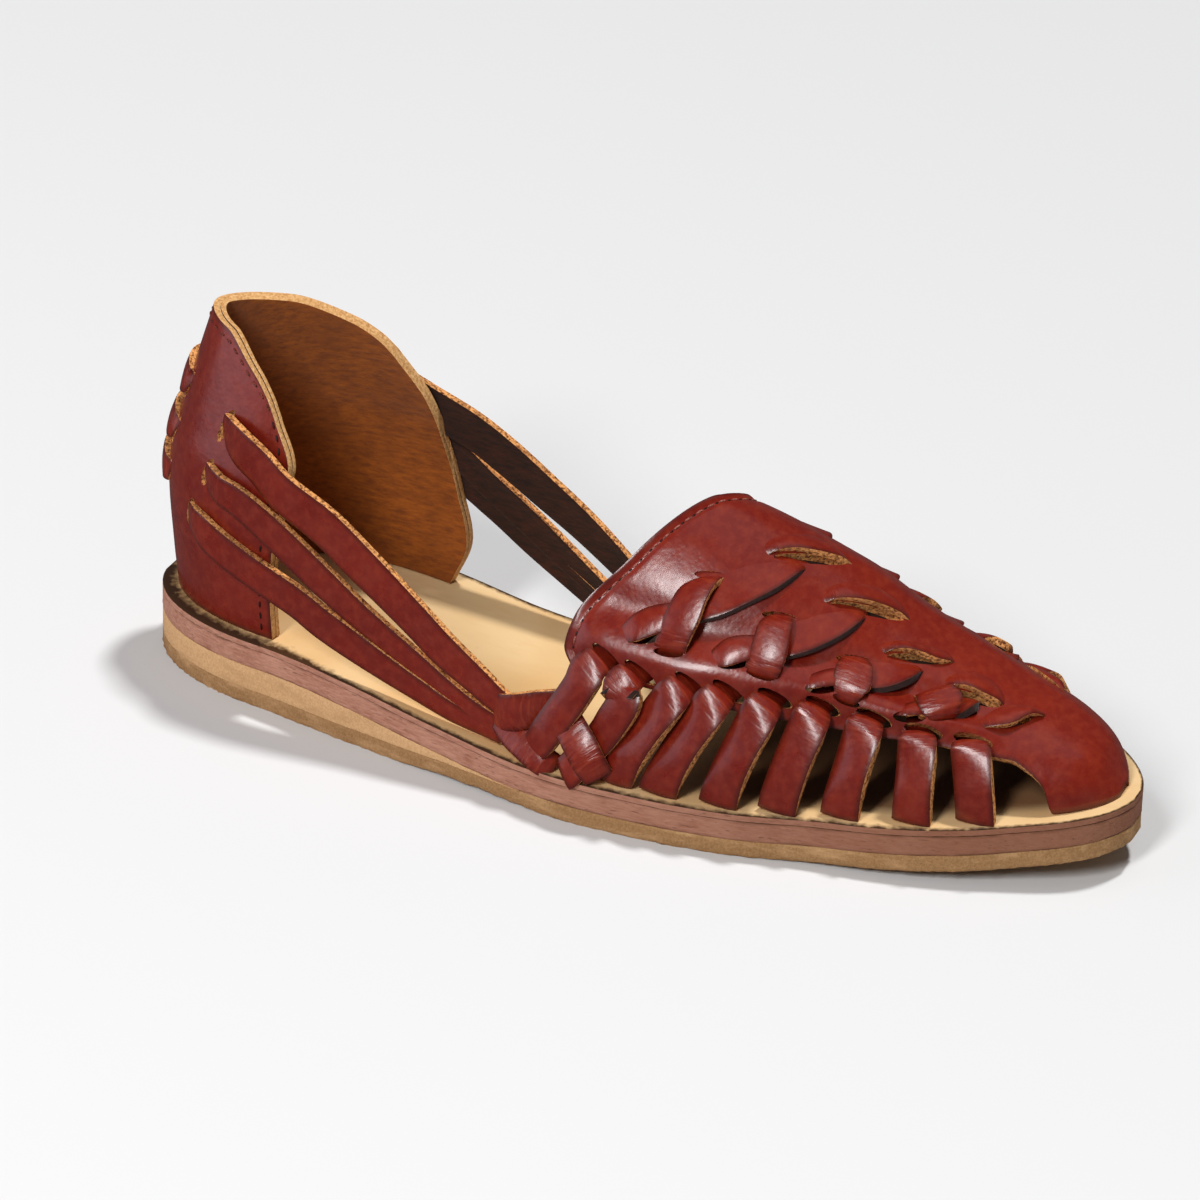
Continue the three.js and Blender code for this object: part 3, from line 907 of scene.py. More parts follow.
class SandalSizes(bpy.types.PropertyGroup):
    upper_wall: length("Vamp leather", "Thickness of the vamp's leather", 2.4)
    counter_outer: length("Counter leather", "Thickness of the counter's outside", 1.75)
    counter_lining: length("Counter lining", "Thickness of the counter's lining", 1.35)
    strap_thick: length("Strap leather", "Thickness of straps and thongs", 1.9)
    edge_rounding: length("Edge rounding", "Radius of a rubbed leather edge", 0.32)
    leg_width: length("Leg width", "Width of the vamp's strap legs", 9.5)
    leg_thick: length("Leg leather", "Thickness of the strap legs", 2.7)
    stitch_pitch: length("Stitch pitch", "Distance from one stitch to the next", 3.3)
    thread_size: length("Thread", "Thickness of the waxed thread", 0.6)
    stitch_inset: length("Stitch inset", "Distance of a stitched line from its edge", 2.3)
    crepe_depth: length("Crepe depth", "Depth of the ragged lower rubber edge", 0.45)


class SandalColours(bpy.types.PropertyGroup):
    grain: colour("Grain", "Waxed grain leather", "#741B0C")
    grain_light: colour("Grain light", "Rubbed and bent leather", "#A24226")
    grain_deep: colour("Grain deep", "Deeper clouds of the dye", "#68140A")
    grain_burnt: colour("Grain burnt", "Burnished leather at an edge", "#2C0A06")
    raw: colour("Raw edge", "Cut edge of leather", "#E6A262")
    raw_dark: colour("Raw edge pits", "Dark fibres of a cut edge", "#5E2E14")
    collar: colour("Collar edge", "Sanded collar edge", "#E2B47C")
    collar_dark: colour("Collar fibres", "Darker collar fibres", "#B07A44")
    flesh: colour("Flesh side", "Brushed inside of the straps", "#3E1A0A")
    flesh_deep: colour("Flesh deep", "Deep nap of the straps", "#1E0A04")
    lining: colour("Lining", "Brushed heel lining", "#A2560F")
    lining_deep: colour("Lining deep", "Deep nap of the lining", "#763A0A")
    insole: colour("Insole", "Pale insole leather", "#DFBE8E")
    insole_warm: colour("Insole warm", "Warmer insole leather", "#D2A974")
    # Painted shade on the insole under the vamp.
    insole_dyed: colour("Insole dyed", "Insole where the vamp's dye rubs off", "#5A3018")
    # The insole's burnished edge, and painted shade of the counter round the heel.
    insole_burnt: colour("Insole burnt", "Burnished insole edge", "#3E2614")
    midsole: colour("Midsole", "Leather midsole", "#B88570")
    midsole_light: colour("Midsole light", "Sanded fibres", "#C6967E")
    midsole_dark: colour("Midsole dark", "Deeper fibres", "#95604C")
    midsole_pit: colour("Midsole pit", "Pits and glue lines", "#5E3826")
    rubber: colour("Rubber", "Outsole rubber", "#AA8259")
    rubber_dark: colour("Rubber dark", "Outsole rubber in its pits", "#88633C")
    wedge: colour("Wedge", "Wedge rubber", "#D8AE7E")
    wedge_dark: colour("Wedge dark", "Wedge rubber in its pits", "#BC9064")
    midsole_toe: colour("Midsole toe", "Browner leather towards the toe", "#80523A")
    thread_red: colour("Dyed thread", "Thread dyed with the counter", "#7A3628")
    thread: colour("Thread", "Waxed thread", "#A4665A")
    thread_dark: colour("Thread dark", "Thread in its twist", "#5E2A22")
    # Painted shade of the awl holes; also the dark twist of the dyed and the dark thread.
    hole: colour("Stitch hole", "Awl holes", "#1E0906")
    floor: colour("Floor", "Studio paper", "#D2D2D2")


# ---- sole ---------------------------------------------------------------------------
PERIMETER = 260
WALL_LEVELS = 10
ROUNDED = 0.16  # the share of a layer's wall that each rounded corner takes
CAP_ACROSS = 36
MELT = 0.02  # points closer than this, in mm, are merged where a layer's faces meet
RIM_STEP = 0.0015  # a short share of the outline, over which its direction is taken
CLOSE = 0.06  # how far a layer's face is drawn in or out, in mm, so that none coincide
WEDGE_FEATHER = 0.02  # thickness of the wedge where it runs out, in mm
# Width of the insole's dark rim: a burnished edge, widened round the heel by painted shade of the
# counter.
BURNISH_AND_SHADE = table("at width", (0, 5.6), (40, 4.6), (60, 2.4), (105, 1.6), (150, 1), (256, 0.8))


def rim_point(share, inset):
    """A point round the sole's outline, moved inwards; share 0 is the heel, 0.5 the toe."""

    def outline(at):
        at = at % 1
        side = np.where(at < 0.5, 1, -1)
        s = np.where(at < 0.5, 2 * at, 2 - 2 * at)
        t = mix(END_SHARE, 1 - END_SHARE, 0.5 - 0.5 * np.cos(np.pi * s))
        return stack(edge(t, side), t * SOLE_LENGTH, 0)

    place = outline(share)
    ahead = unit(outline(share + RIM_STEP) - outline(share - RIM_STEP))
    inward = stack(-ahead[..., 1], ahead[..., 0], 0)
    return place + inward * np.asarray(inset, float)[..., None]


def sole_layer(name, bottom, top, rounding, rough, last=1.0):
    """A closed layer with the sole's outline between two height functions of its length."""

    def section(v):
        """The wall's inset at a share of its height, rounded at both corners."""
        corners = (1 - v / ROUNDED, (v - (1 - ROUNDED)) / ROUNDED)
        near = [np.minimum(np.clip(corner, 0, 1), 0.999) for corner in corners]
        return sum(rounding * (1 - np.sqrt(1 - share**2)) for share in near)

    def wall_place(u, v):
        place = rim_point(u, section(v))
        t = np.clip(place[:, 1] / SOLE_LENGTH, 0, last)
        low, high = bottom(t), top(t)
        # Coarse and fine waves of the cut edge, in mm, deepest at its foot.
        waves = [
            noise.noise(Vector((x * 1.1, y * 1.1, w * 2.0)))
            + 0.5 * noise.noise(Vector((x * 2.7, y * 2.7, w * 5 + 9)))
            for x, y, w in zip(place[:, 0], place[:, 1], v)
        ]
        deep = rough * np.array(waves) * (0.25 + 0.75 * np.clip(1 - 2.2 * v, 0, 1))
        place = rim_point(u, section(v) + np.maximum(deep, -0.3))
        place[:, 2] = mix(low, high, v)
        place[:, 1] = np.minimum(place[:, 1], last * SOLE_LENGTH) if last < 1 else place[:, 1]
        return place

    wall = sheet(name, PERIMETER * 2, WALL_LEVELS, wall_place)
    grids = [wall]
    for level, height in ((0, bottom), (1, top)):

        def cap_place(u, v, level=level, height=height):
            right = wall_place(v / 2, np.full_like(v, level))
            left = wall_place(1 - v / 2, np.full_like(v, level))
            place = left + (right - left) * u[:, None]
            place[:, 2] = height(np.clip(place[:, 1] / SOLE_LENGTH, 0, last))
            return place

        cap = sheet(name + "_cap", CAP_ACROSS, PERIMETER, cap_place)
        if level == 0:
            only(cap)
            bpy.ops.object.mode_set(mode="EDIT")
            bpy.ops.mesh.select_all(action="SELECT")
            bpy.ops.mesh.flip_normals()
            bpy.ops.object.mode_set(mode="OBJECT")
        grids.append(cap)
    bpy.ops.object.select_all(action="DESELECT")
    for grid in grids:
        grid.select_set(True)
    bpy.context.view_layer.objects.active = wall
    bpy.ops.object.join()
    bpy.ops.object.mode_set(mode="EDIT")
    bpy.ops.mesh.select_all(action="SELECT")
    bpy.ops.mesh.remove_doubles(threshold=MELT * MM)
    bpy.ops.mesh.normals_make_consistent(inside=False)
    bpy.ops.object.mode_set(mode="OBJECT")
    places = read_points(wall) / MM - SHIFT
    t = np.clip(places[:, 1] / SOLE_LENGTH, 0, last)
    share = (places[:, 2] - bottom(t)) / np.maximum(top(t) - bottom(t), 0.01)
    attribute(wall, "height", share)
    smooth(wall, 50)
    return wall


class SANDAL_OT_sole(bpy.types.Operator):
    """Rubber outsole and wedge, leather midsole and insole"""

    bl_idname = "sandal.sole"
    bl_label = "Sole"

    def execute(self, context):
        # Rows of name, node, finish, rounding, roughness, the share of the length at which it
        # ends, and the heights of its underside and its top.
        layers = (
            (
                "outsole_crepe", "outsole", "outsole", 0.25, size("crepe_depth"), 1,
                lambda t: spring(t) + arch(t),
                outsole_top,
            ),
            (
                "wedge_crepe", "heel_wedge", "wedge", 0.12, 0.12, WEDGE_END + 0.03,
                lambda t: outsole_top(t) + CLOSE,
                lambda t: outsole_top(t) + np.maximum(lift(t), WEDGE_FEATHER) + CLOSE,
            ),
            (
                "midsole_leather", "midsole", "midsole", 0.2, 0.22, 1,
                lambda t: midsole_foot(t) - FIT_GAP + 2 * CLOSE,
                lambda t: midsole_foot(t) + MIDSOLE_THICK + FIT_GAP - CLOSE,
            ),
        )
        for name, node, word, rounding, rough, last, bottom, top in layers:
            layer = sole_layer(name, bottom, top, rounding, rough, last)
            layer.data.materials.append(finish(word))
            stand_for(layer, node, node)

        insole = sole_layer(
            "insole_leather", insole_foot, lambda t: insole_foot(t) + INSOLE_THICK, 0.45, 0.12
        )
        places = read_points(insole) / MM - SHIFT
        t = np.clip(places[:, 1] / SOLE_LENGTH, END_SHARE, 1 - END_SHARE)
        around = rim_point(np.linspace(0, 1, 900, endpoint=False), np.zeros(900))
        nearest = [np.sqrt(((around[:, :2] - place[:2]) ** 2).sum(1).min()) for place in places]
        nearest = np.array(nearest)
        # The burnish runs round the edge, widened round the heel by painted shade of the counter;
        # under the vamp, from the throat to the toe, lies painted shade in the attribute named dye.
        width = column(BURNISH_AND_SHADE, "width")(t * SOLE_LENGTH)
        attribute(insole, "burnish", np.clip(1 - nearest / width, 0, 1) ** 0.6)
        under = ease((places[:, 1] - 146) / 22) * ease((nearest - 5.5) / 6)
        attribute(insole, "dye", under * (1 - ease((places[:, 1] - 242) / 8)))
        no_seam = np.full(len(places), 0.5, np.float32)
        insole.data.attributes["height"].data.foreach_set("value", no_seam)
        insole.data.materials.append(finish("insole"))
        insole.data.materials.append(finish("midsole"))
        for polygon in insole.data.polygons:
            if abs(polygon.normal.z) < 0.5:
                polygon.material_index = 1
        stand_for(insole, "insole", "insole")
        return {"FINISHED"}


# ---- vamp ---------------------------------------------------------------------------
RIDGE_LINE = table(
    "at girth",
    (121, 0.6),
    (135, 0.61),
    (148, 0.61),
    (161, 0.59),
    (174, 0.57),
    (190, 0.54),
    (206, 0.51),
    (222, 0.46),
)
RIDGE_GIRTH_TO_MM = 58
# Diameters of the slots in mm: along, across and through the leather.
LEG_SLOT = (9.6, 3, 9)
CROSS_SLOT_HIGH = (8.6, 2.2, 8)
CROSS_SLOT_LOW = (8, 2.4, 8)
LEAF_SLOT = (9, 3.2, 8)
TOE_SLOT = (9.5, 3, 8)
LEG_SLOT_TILT = 0.005 / 14  # turn of a leg's slot, in girth per mm, for each mm that the leg leans
SADDLE_GRID = (150, 210)
LEG_COUNT = 9
SIDES = ((1, "lateral"), (-1, "medial"))
ridge_line = column(RIDGE_LINE, "girth")


def swell(distance, height, reach, at=0.0):
    """A soft rise of that height round a distance, all in millimetres."""
    return height * np.exp(-(((distance - at) / reach) ** 2))


def saddle_swell(y, girth, from_edge=FAR):
    """How far the saddle's skin stands proud: the soft roll over the slots and the lip."""
    off = (np.abs(girth) - ridge_line(y)) * RIDGE_GIRTH_TO_MM
    fade = ease((y - 118) / 14) * (1 - ease((y - 206) / 22))
    roll = swell(off, 2.2, 3.2)
    valley = swell(off, 1.0, 2.8, -6.5) + swell(off, 0.5, 2.6, 6.5)
    lip = swell(from_edge, 0.5, 1.5) - swell(from_edge, 0.35, 0.7, 2.4)
    return (roll - valley) * fade + lip


def saddle_place(u, v):
    """The saddle's skin from its throat to the toe."""
    share = 2 * u - 1
    start = throat_at(share)
    y = mix(start, TOE_TIP - NOSE_FLAT, v)
    girth = share * saddle_edge(y)
    return on_vamp(y, girth, saddle_swell(y, girth, y - start))


def leg_places(number, side):
    """Slot and foot of a leg: distance from the heel and girth."""
    forward = leg_medial(number) if side < 0 else 0
    top = (leg_top(number) + forward, side * leg_girth(number))
    foot = (leg_foot(number) + forward, side)
    return top, foot


def surface_spot(y, girth, heading, diameters):
    """A lens-shaped hole through the saddle; heading is its long way as (dy, dgirth)."""
    with_y, with_girth, normal = vamp_slopes(np.array(y), np.array(girth))
    long_way = unit(with_y * heading[0] + with_girth * heading[1])
    return vamp(y, girth), (long_way, np.cross(normal, long_way), normal), diameters


def strip_slot(first, second, side, diameters, shift=0.0):
    """A slot in the saddle that runs from one (y, girth) to another."""
    y = (first[0] + second[0]) / 2
    girth = (first[1] + second[1]) / 2 + shift
    heading = (second[0] - first[0], side * (second[1] - first[1]))
    return surface_spot(y, side * girth, heading, diameters)


def saddle_slots():
    """Every hole through the saddle: the legs' slots and those of the woven strips."""
    spots = []
    for side in (1, -1):
        for number in range(LEG_COUNT):
            (y, girth), (foot_y, _) = leg_places(number, side)
            heading = (1, side * LEG_SLOT_TILT * (y - foot_y))
            spots.append(surface_spot(y + 0.9, girth - side * 0.004, heading, LEG_SLOT))
        for row in WEAVE:
            rear, front, leaf = row["cross_rear"], row["cross_front"], row["leaf_low"]
            spots.append(strip_slot(rear[0], front[0], side, CROSS_SLOT_HIGH, -0.01))
            spots.append(strip_slot(rear[-1], front[-1], side, CROSS_SLOT_LOW, 0.004))
            spots.append(strip_slot(leaf[0], leaf[-1], side, LEAF_SLOT, 0.01))
            if side > 0:
                band = row["band_low"]
                span = math.dist(vamp(*band[0]), vamp(*band[-1]))
                spots.append(strip_slot(band[0], band[-1], side, (span * 0.8, 2.8, 8), 0.008))
        toe = TOE_LEAF["low"]
        spots.append(strip_slot(toe[0], toe[-1], side, TOE_SLOT))
    return spots


class SANDAL_OT_saddle(bpy.types.Operator):
    """Saddle and toe cap of the vamp, with its slots"""

    bl_idname = "sandal.saddle"
    bl_label = "Saddle"

    def execute(self, context):
        saddle = sheet("vamp_saddle", *SADDLE_GRID, saddle_place)
        modify(saddle, "SMOOTH", factor=0.5, iterations=2)
        thicken(saddle, size("upper_wall"), 0.45, strap_set())
        cut(saddle, pods("slot_cutters", saddle_slots()))
        stand_for(saddle, "upper_leather", "upper")
        return {"FINISHED"}


LEG_STEPS = table(
    "share rise wide",
    (-0.32, -3.4, 0.7),
    (-0.13, -3.6, 0.7),
    (-0.05, -2.4, 0.72),
    (-0.01, 0.2, 0.76),
    (0.03, 2.5, 0.84),
    (0.1, 3.4, 0.96),
    (0.2, 3.3, 1),
    (0.4, 2.7, 1),
    (0.6, 2.5, 1),
    (0.8, 2.1, 1),
    (0.93, 1.7, 1),
    (1, 1.5, 1),
)
LEG_SWING = 1.6
LEG_TWIST = math.radians(22)
LEG_FOLDS = ((0.24, 5), (0.36, 4))
# The first two legs leave the vamp at a share of their way and end in the gather: rows of
# x, y, z and width.
GATHER_FROM = 0.15
GATHERED_LEGS = (
    (
        (37.6, 128, 34, 8.6), (38.9, 125.4, 28.8, 8.6), (40.4, 122.2, 23.2, 8.4),
        (40.8, 119.4, 18.2, 8), (39.4, 116.8, 14.8, 7),
    ),
    (
        (38.4, 139.6, 33, 8.8), (39.6, 137, 27, 8.6), (39.4, 134.2, 22, 8.2),
        (41, 130.8, 17.6, 8), (43, 128, 13.4, 8), (42.4, 126.6, 11.9, 7.4),
    ),
)
# Thong ends tied round the first legs: rows of x, y, z and width.
GATHER_PIECES = {
    "loop": (
        (31.6, 108.6, 19.2, 7), (33.4, 104.8, 19.6, 9), (36.8, 107.2, 21, 9.6),
        (38.2, 113, 23.2, 9.4), (37, 118, 25, 8.6), (35.8, 123, 26.5, 7.6),
    ),
    "end": (
        (35.4, 107, 19, 6), (37.4, 110.8, 17.6, 7.4), (40, 116.6, 15.8, 7.8),
        (41.2, 121.2, 13.9, 7.6), (40.4, 124.2, 12.2, 6.8),
    ),
    "cross": (
        (36.6, 122.8, 27.2, 7.2), (39.4, 126.2, 25, 8), (42.4, 130.8, 21.2, 8.6),
        (43.6, 134.2, 17, 8.4), (42.6, 136.4, 13.4, 7.6),
    ),
}
GATHER_MIRROR = 12
GATHER_MEDIAL = 6


def gather_row(row, side):
    """A row of the gather; the medial one mirrors the lateral."""
    x, y, z, width = row
    if side < 0:
        x, y = GATHER_MIRROR - x, y + GATHER_MEDIAL
    return x, y, z, width


def free_rows(rows, side, outward=None, twist=0.0):
    """Strap rows through rows of x, y, z and width; without outward they face off the last."""
    rows = np.array(rows, float)
    turned = []
    for row, forward in zip(rows, np.gradient(rows[:, :3], axis=0)):
        face = outward
        if face is None:
            face = np.array([side * forward[1], -side * forward[0], 0])
        across = unit(np.cross(forward, face))
        face = unit(np.cross(across, forward))
        across = across * math.cos(twist) - side * face * math.sin(twist)
        turned.append([*row[:3], *across, row[3]])
    return turned


def leg_rows(number, side, width):
    """Strap rows of one leg, from inside the saddle, over its edge and down to the insole."""
    top, foot = leg_places(number, side)
    share, rise, wide = LEG_STEPS["share"], LEG_STEPS["rise"], LEG_STEPS["wide"]
    if number < len(GATHERED_LEGS):
        keep = share <= GATHER_FROM
        share, rise, wide = share[keep], rise[keep], wide[keep]

    def at(s):
        swing = np.clip(1 - s, 0, 2) ** LEG_SWING
        return mix(foot[0], top[0], swing), np.clip(mix(top[1], side, s), -1, 1)

    y, girth = at(share)
    places = on_vamp(y, girth, rise)
    normals = vamp_slopes(y, girth)[2]
    before, after = at(share - 0.03), at(share + 0.03)
    ahead = vamp(*after) - vamp(*before)
    across = unit(np.cross(ahead, normals))
    twist = LEG_TWIST * ease(share / 0.3)[:, None]
    across = across * np.cos(twist) - side * normals * np.sin(twist)
    level = ease((share - 0.5) / 0.5)[:, None]
    across = unit(mix(across, np.array([0, -side, 0]), level))
    rows = np.concatenate([places, across, (width * wide)[:, None]], 1)
    if number < len(GATHERED_LEGS):
        free = [(*rows[-1, :3], 0), *(gather_row(row, side) for row in GATHERED_LEGS[number])]
        free = free_rows(free, side, np.array([side, 0, 0.25]), LEG_TWIST / 2)
        rows = np.concatenate([rows, free[1:]])
    return rows


class SANDAL_OT_legs(bpy.types.Operator):
    """Strap legs from the saddle's slots down to the insole, and the gather behind them"""

    bl_idname = "sandal.legs"
    bl_label = "Legs"

    def execute(self, context):
        thick = size("leg_thick")
        for side, word in SIDES:
            for number in range(LEG_COUNT):
                rows = leg_rows(number, side, size("leg_width"))
                piece = strap(f"leg_{word}_{number + 1}", rows, thick, 64, 0.45, LEG_FOLDS)
                stand_for(piece, "upper_leather", "upper")
            for kind, rows in GATHER_PIECES.items():
                outward = None if kind == "loop" else np.array([side, 0, 0.6])
                rows = free_rows([gather_row(row, side) for row in rows], side, outward)
                piece = strap(f"gather_{kind}_{word}", rows, thick, 40, 0.7, ((0.25, 6), (0.7, 5)))
                stand_for(piece, "thong_leather", f"side_straps_{word}")
        return {"FINISHED"}


# ---- weave --------------------------------------------------------------------------
# Each woven row by the edges of its strips, as (y, girth): a flap like a leaf, a strap that
# crosses it, a long strip slashed from the saddle, and a band over the instep's ridge.
WEAVE = [
    {
        "leaf_high": ((133.6, 0.572), (136.6, 0.519), (140.1, 0.485), (146.5, 0.45)),
        "leaf_low": ((134.4, 0.586), (137.5, 0.588), (143.1, 0.553), (148, 0.52)),
        "cross_rear": ((149.6, 0.366), (146, 0.414), (144.8, 0.461), (143.8, 0.535), (143.2, 0.585)),
        "cross_front": ((154.6, 0.35), (154, 0.372), (153.2, 0.431), (153, 0.479), (151.4, 0.571)),
        "long_low": ((150.5, 0.495), (156.9, 0.451), (162.2, 0.388), (167.1, 0.311), (172.2, 0.162)),
        "band_high": ((160, 0.206), (161.3, 0.151), (164.1, 0.088), (169.4, -0.006), (173.4, -0.05)),
        "band_low": ((161.6, 0.222), (164.2, 0.18), (167.4, 0.146), (171.2, 0.12), (180.5, 0.05)),
    },
    {
        "leaf_high": ((155.6, 0.573), (157.4, 0.53), (159.8, 0.495), (167, 0.455)),
        "leaf_low": ((156.5, 0.58), (159.8, 0.578), (164.8, 0.545), (169, 0.51)),
        "cross_rear": ((166.4, 0.405), (165.4, 0.43), (165.2, 0.487), (165.2, 0.56)),
        "cross_front": ((172.4, 0.385), (173.2, 0.455), (173.6, 0.51), (173, 0.56)),
        "long_low": ((171.5, 0.51), (175.8, 0.477), (179.7, 0.434), (183.8, 0.362), (187.7, 0.225)),
        "band_high": ((175.4, 0.268), (178.5, 0.193), (183.1, 0.136), (187.6, 0.092), (195, 0.09)),
        "band_low": ((176.8, 0.296), (179.4, 0.26), (184.8, 0.212), (190.5, 0.168), (196.5, 0.13)),
    },
    {
        "leaf_high": ((176.2, 0.553), (179.3, 0.521), (183.8, 0.475), (187, 0.46)),
        "leaf_low": ((177, 0.566), (180.4, 0.56), (185.2, 0.53), (188.5, 0.51)),
        "cross_rear": ((184.6, 0.44), (184.2, 0.473), (185, 0.525), (186.2, 0.552)),
        "cross_front": ((190.8, 0.4), (192.3, 0.426), (193.4, 0.488), (191.4, 0.55)),
        "long_low": ((190.5, 0.505), (197.1, 0.451), (201, 0.382), (203.4, 0.295)),
        "band_high": ((190.8, 0.315), (196.3, 0.241), (201.5, 0.198), (207.5, 0.155)),
        "band_low": ((192.4, 0.345), (196.2, 0.292), (200.6, 0.264), (205.1, 0.246), (209, 0.19)),
    },
    {
        "leaf_high": ((198.9, 0.525), (200.9, 0.489), (204.5, 0.44)),
        "leaf_low": ((199.6, 0.536), (202.4, 0.53), (208, 0.49)),
        "cross_rear": ((203.6, 0.445), (204.8, 0.478), (207.4, 0.51)),
        "cross_front": ((209.2, 0.335), (213, 0.37), (213.8, 0.435)),
        "long_low": ((211.5, 0.46), (213.8, 0.441), (215.8, 0.39), (217.6, 0.31)),
        "band_high": ((206.9, 0.318), (208.4, 0.277), (211.8, 0.205), (216.6, 0.18), (222.5, 0.21)),
        "band_low": ((208.4, 0.335), (212.4, 0.298), (217.4, 0.29), (223, 0.27)),
    },
]
TOE_LEAF = {
    "high": ((218, 0.43), (221.2, 0.315), (225.3, 0.232), (231, 0.19)),
    "low": ((219.2, 0.45), (225.3, 0.39), (228.6, 0.29), (231.5, 0.22)),
}
LONG_WIDE = 11.5
WOVEN_GRID = (14, 44)
# How high a strip stands over the saddle along its way: on the edge nearer the ridge, in its
# middle and on its other edge.
LEAF_RISES = table(
    "share high middle low",
    (0, -0.3, -0.2, -0.2),
    (0.12, 0.5, 1, 1.2),
    (0.4, 1, 2.2, 2.5),
    (0.75, 1, 2.4, 2.4),
    (1, 0, 0.8, 0.6),
)
LONG_RISES = table(
    "share high middle low",
    (0, -1, -0.2, 0.2),
    (0.15, -0.9, 0.5, 2.1),
    (0.6, -0.9, 0.6, 2.4),
    (0.85, -0.8, 0.4, 1.5),
    (1, -1, -1, -2.2),
)
CROSS_RISES = table(
    "share high middle low",
    (0, -3.4, -3.4, -3.4),
    (0.07, -1.4, -1.1, -1.4),
    (0.15, 1.5, 2.4, 2.6),
    (0.4, 2.4, 3.7, 4.2),
    (0.7, 2, 3.3, 3.8),
    (0.88, 0.7, 1.4, 1.4),
    (0.95, -1.4, -1.1, -1.4),
    (1, -3.4, -3.4, -3.4),
)
BAND_RISES = table(
    "share high middle low",
    (0, -0.8, -0.6, -0.8),
    (0.18, 0.2, 1.1, 1.4),
    (0.5, 0.5, 1.7, 2.1),
    (0.8, 0.2, 1.2, 1.6),
    (1, -0.8, -0.6, -0.8),
)
GIRTH_TO_MM = 60
MEDIAL_RISE = 0.6  # the medial side's weave is pulled tighter


def woven(name, side, high, low, rises, folds=(), merged=False, rim="raw", reach=0.0):
    """A strip between two edges on the saddle, run on at both ends by reach in mm.

    A merged strip has no edge of its own above; rim is the finish of its cut edge.
    """
    lines = []
    for rows in (high, low):
        flat = [(y, girth * GIRTH_TO_MM, 0) for y, girth in rows]
        line = through(flat, 80)
        before = line[0] - unit(line[3] - line[0]) * reach
        after = line[-1] + unit(line[-1] - line[-4]) * reach
        line = through([before, *line[::8], line[-1], after], 80)
        lines.append(line / [1, GIRTH_TO_MM, 1])
    levels = [column(rises, key, "share") for key in ("high", "middle", "low")]

    def place(u, v):
        u = u if side > 0 else 1 - u
        first, second = sampled(lines[0], v), sampled(lines[1], v)
        y = mix(first[:, 0], second[:, 0], u)
        girth = mix(first[:, 1], second[:, 1], u)
        above, centre, below = (level(v) for level in levels)
        rise = mix(above, below, u) + (centre - (above + below) / 2) * 4 * u * (1 - u)
        if side < 0:
            rise = np.where(rise > 0, rise * MEDIAL_RISE, rise)
        return on_vamp(y, side * girth, rise)

    cut_sides = (1, 1, 1, 1)
    if merged:
        cut_sides = (0, 1, 0, 0) if side > 0 else (1, 0, 0, 0)
    span = math.dist(vamp(*high[0]), vamp(*high[-1]))
    piece = sheet(name, *WOVEN_GRID, place, bent_near(folds, span), cut_sides)
    modify(piece, "SMOOTH", factor=0.5, iterations=2)
    leathers = (finish("grain"), finish(rim), finish("flesh"))
    thicken(piece, size("strap_thick"), size("edge_rounding"), leathers)
    return stand_for(piece, "upper_leather", "upper")


INNER_RUNS = (
    ((0.5, 149), (0.36, 154), (0.18, 166), (0, 174)),
    ((0.5, 169.5), (0.36, 172), (0.2, 184), (0, 191)),
    ((0.5, 189), (0.36, 191), (0.24, 200.5), (0, 207)),
    ((0.46, 209), (0.34, 211), (0.24, 216), (0, 222)),
)
INNER_RISE = -2.8
INNER_HALF = 6.5
INNER_THICK = 1.2


def inner_run(number, rows):
    """The run of one woven strip inside the vamp, from one side's slots to the other's."""
    line = table("girth y", *rows[::-1])
    centre = column(line, "y", "girth")
    reach = rows[0][0]

    def place(u, v):
        girth = (2 * u - 1) * reach
        y = centre(np.abs(girth)) + (2 * v - 1) * INNER_HALF
        return on_vamp(y, girth, np.full_like(y, INNER_RISE))

    piece = sheet(f"weave_inner_{number}", 60, 8, place)
    thicken(piece, INNER_THICK, 0.2, [finish("flesh")] * 3)
    return stand_for(piece, "upper_leather", "upper")


class SANDAL_OT_weave(bpy.types.Operator):
    """Strips woven through the saddle"""

    bl_idname = "sandal.weave"
    bl_label = "Weave"

    def execute(self, context):
        for number, rows in enumerate(INNER_RUNS, 1):
            inner_run(number, rows)
        for side, word in SIDES:
            for number, row in enumerate(WEAVE, 1):
                woven(
                    f"weave_leaf_{word}_{number}", side, row["leaf_high"], row["leaf_low"],
                    LEAF_RISES, ((0.1, 3),),
                )
                # The long strip's upper edge lies one width above its lower one.
                low = row["long_low"]
                span = LONG_WIDE * (1.05 - 0.12 * number)
                high = []
                for (y0, g0), (y1, g1) in zip(low[:-1], low[1:]):
                    run = np.array([y1 - y0, (g1 - g0) * GIRTH_TO_MM])
                    run = run / np.linalg.norm(run)
                    high.append((y0 + run[1] * span, g0 - run[0] * span / GIRTH_TO_MM))
                high.append((low[-1][0] - 1.5, low[-1][1] - 0.01))  # it ends in a point
                woven(
                    f"weave_long_{word}_{number}", side, high, low, LONG_RISES, merged=True,
                    rim="flesh",
                )
                # Its edges are taken from their far ends, so that its face looks outwards.
                woven(
                    f"weave_cross_{word}_{number}", side, row["cross_rear"][::-1],
                    row["cross_front"][::-1], CROSS_RISES, ((0.15, 2.4), (0.88, 2.6)), reach=2.2,
                )
                if side > 0:
                    woven(
                        f"weave_band_{number}", side, row["band_high"], row["band_low"],
                        BAND_RISES, ((0.1, 4),), True,
                    )
            woven(
                f"weave_toe_leaf_{word}", side, TOE_LEAF["high"], TOE_LEAF["low"], LEAF_RISES,
                ((0.1, 3),), True,
            )
        return {"FINISHED"}


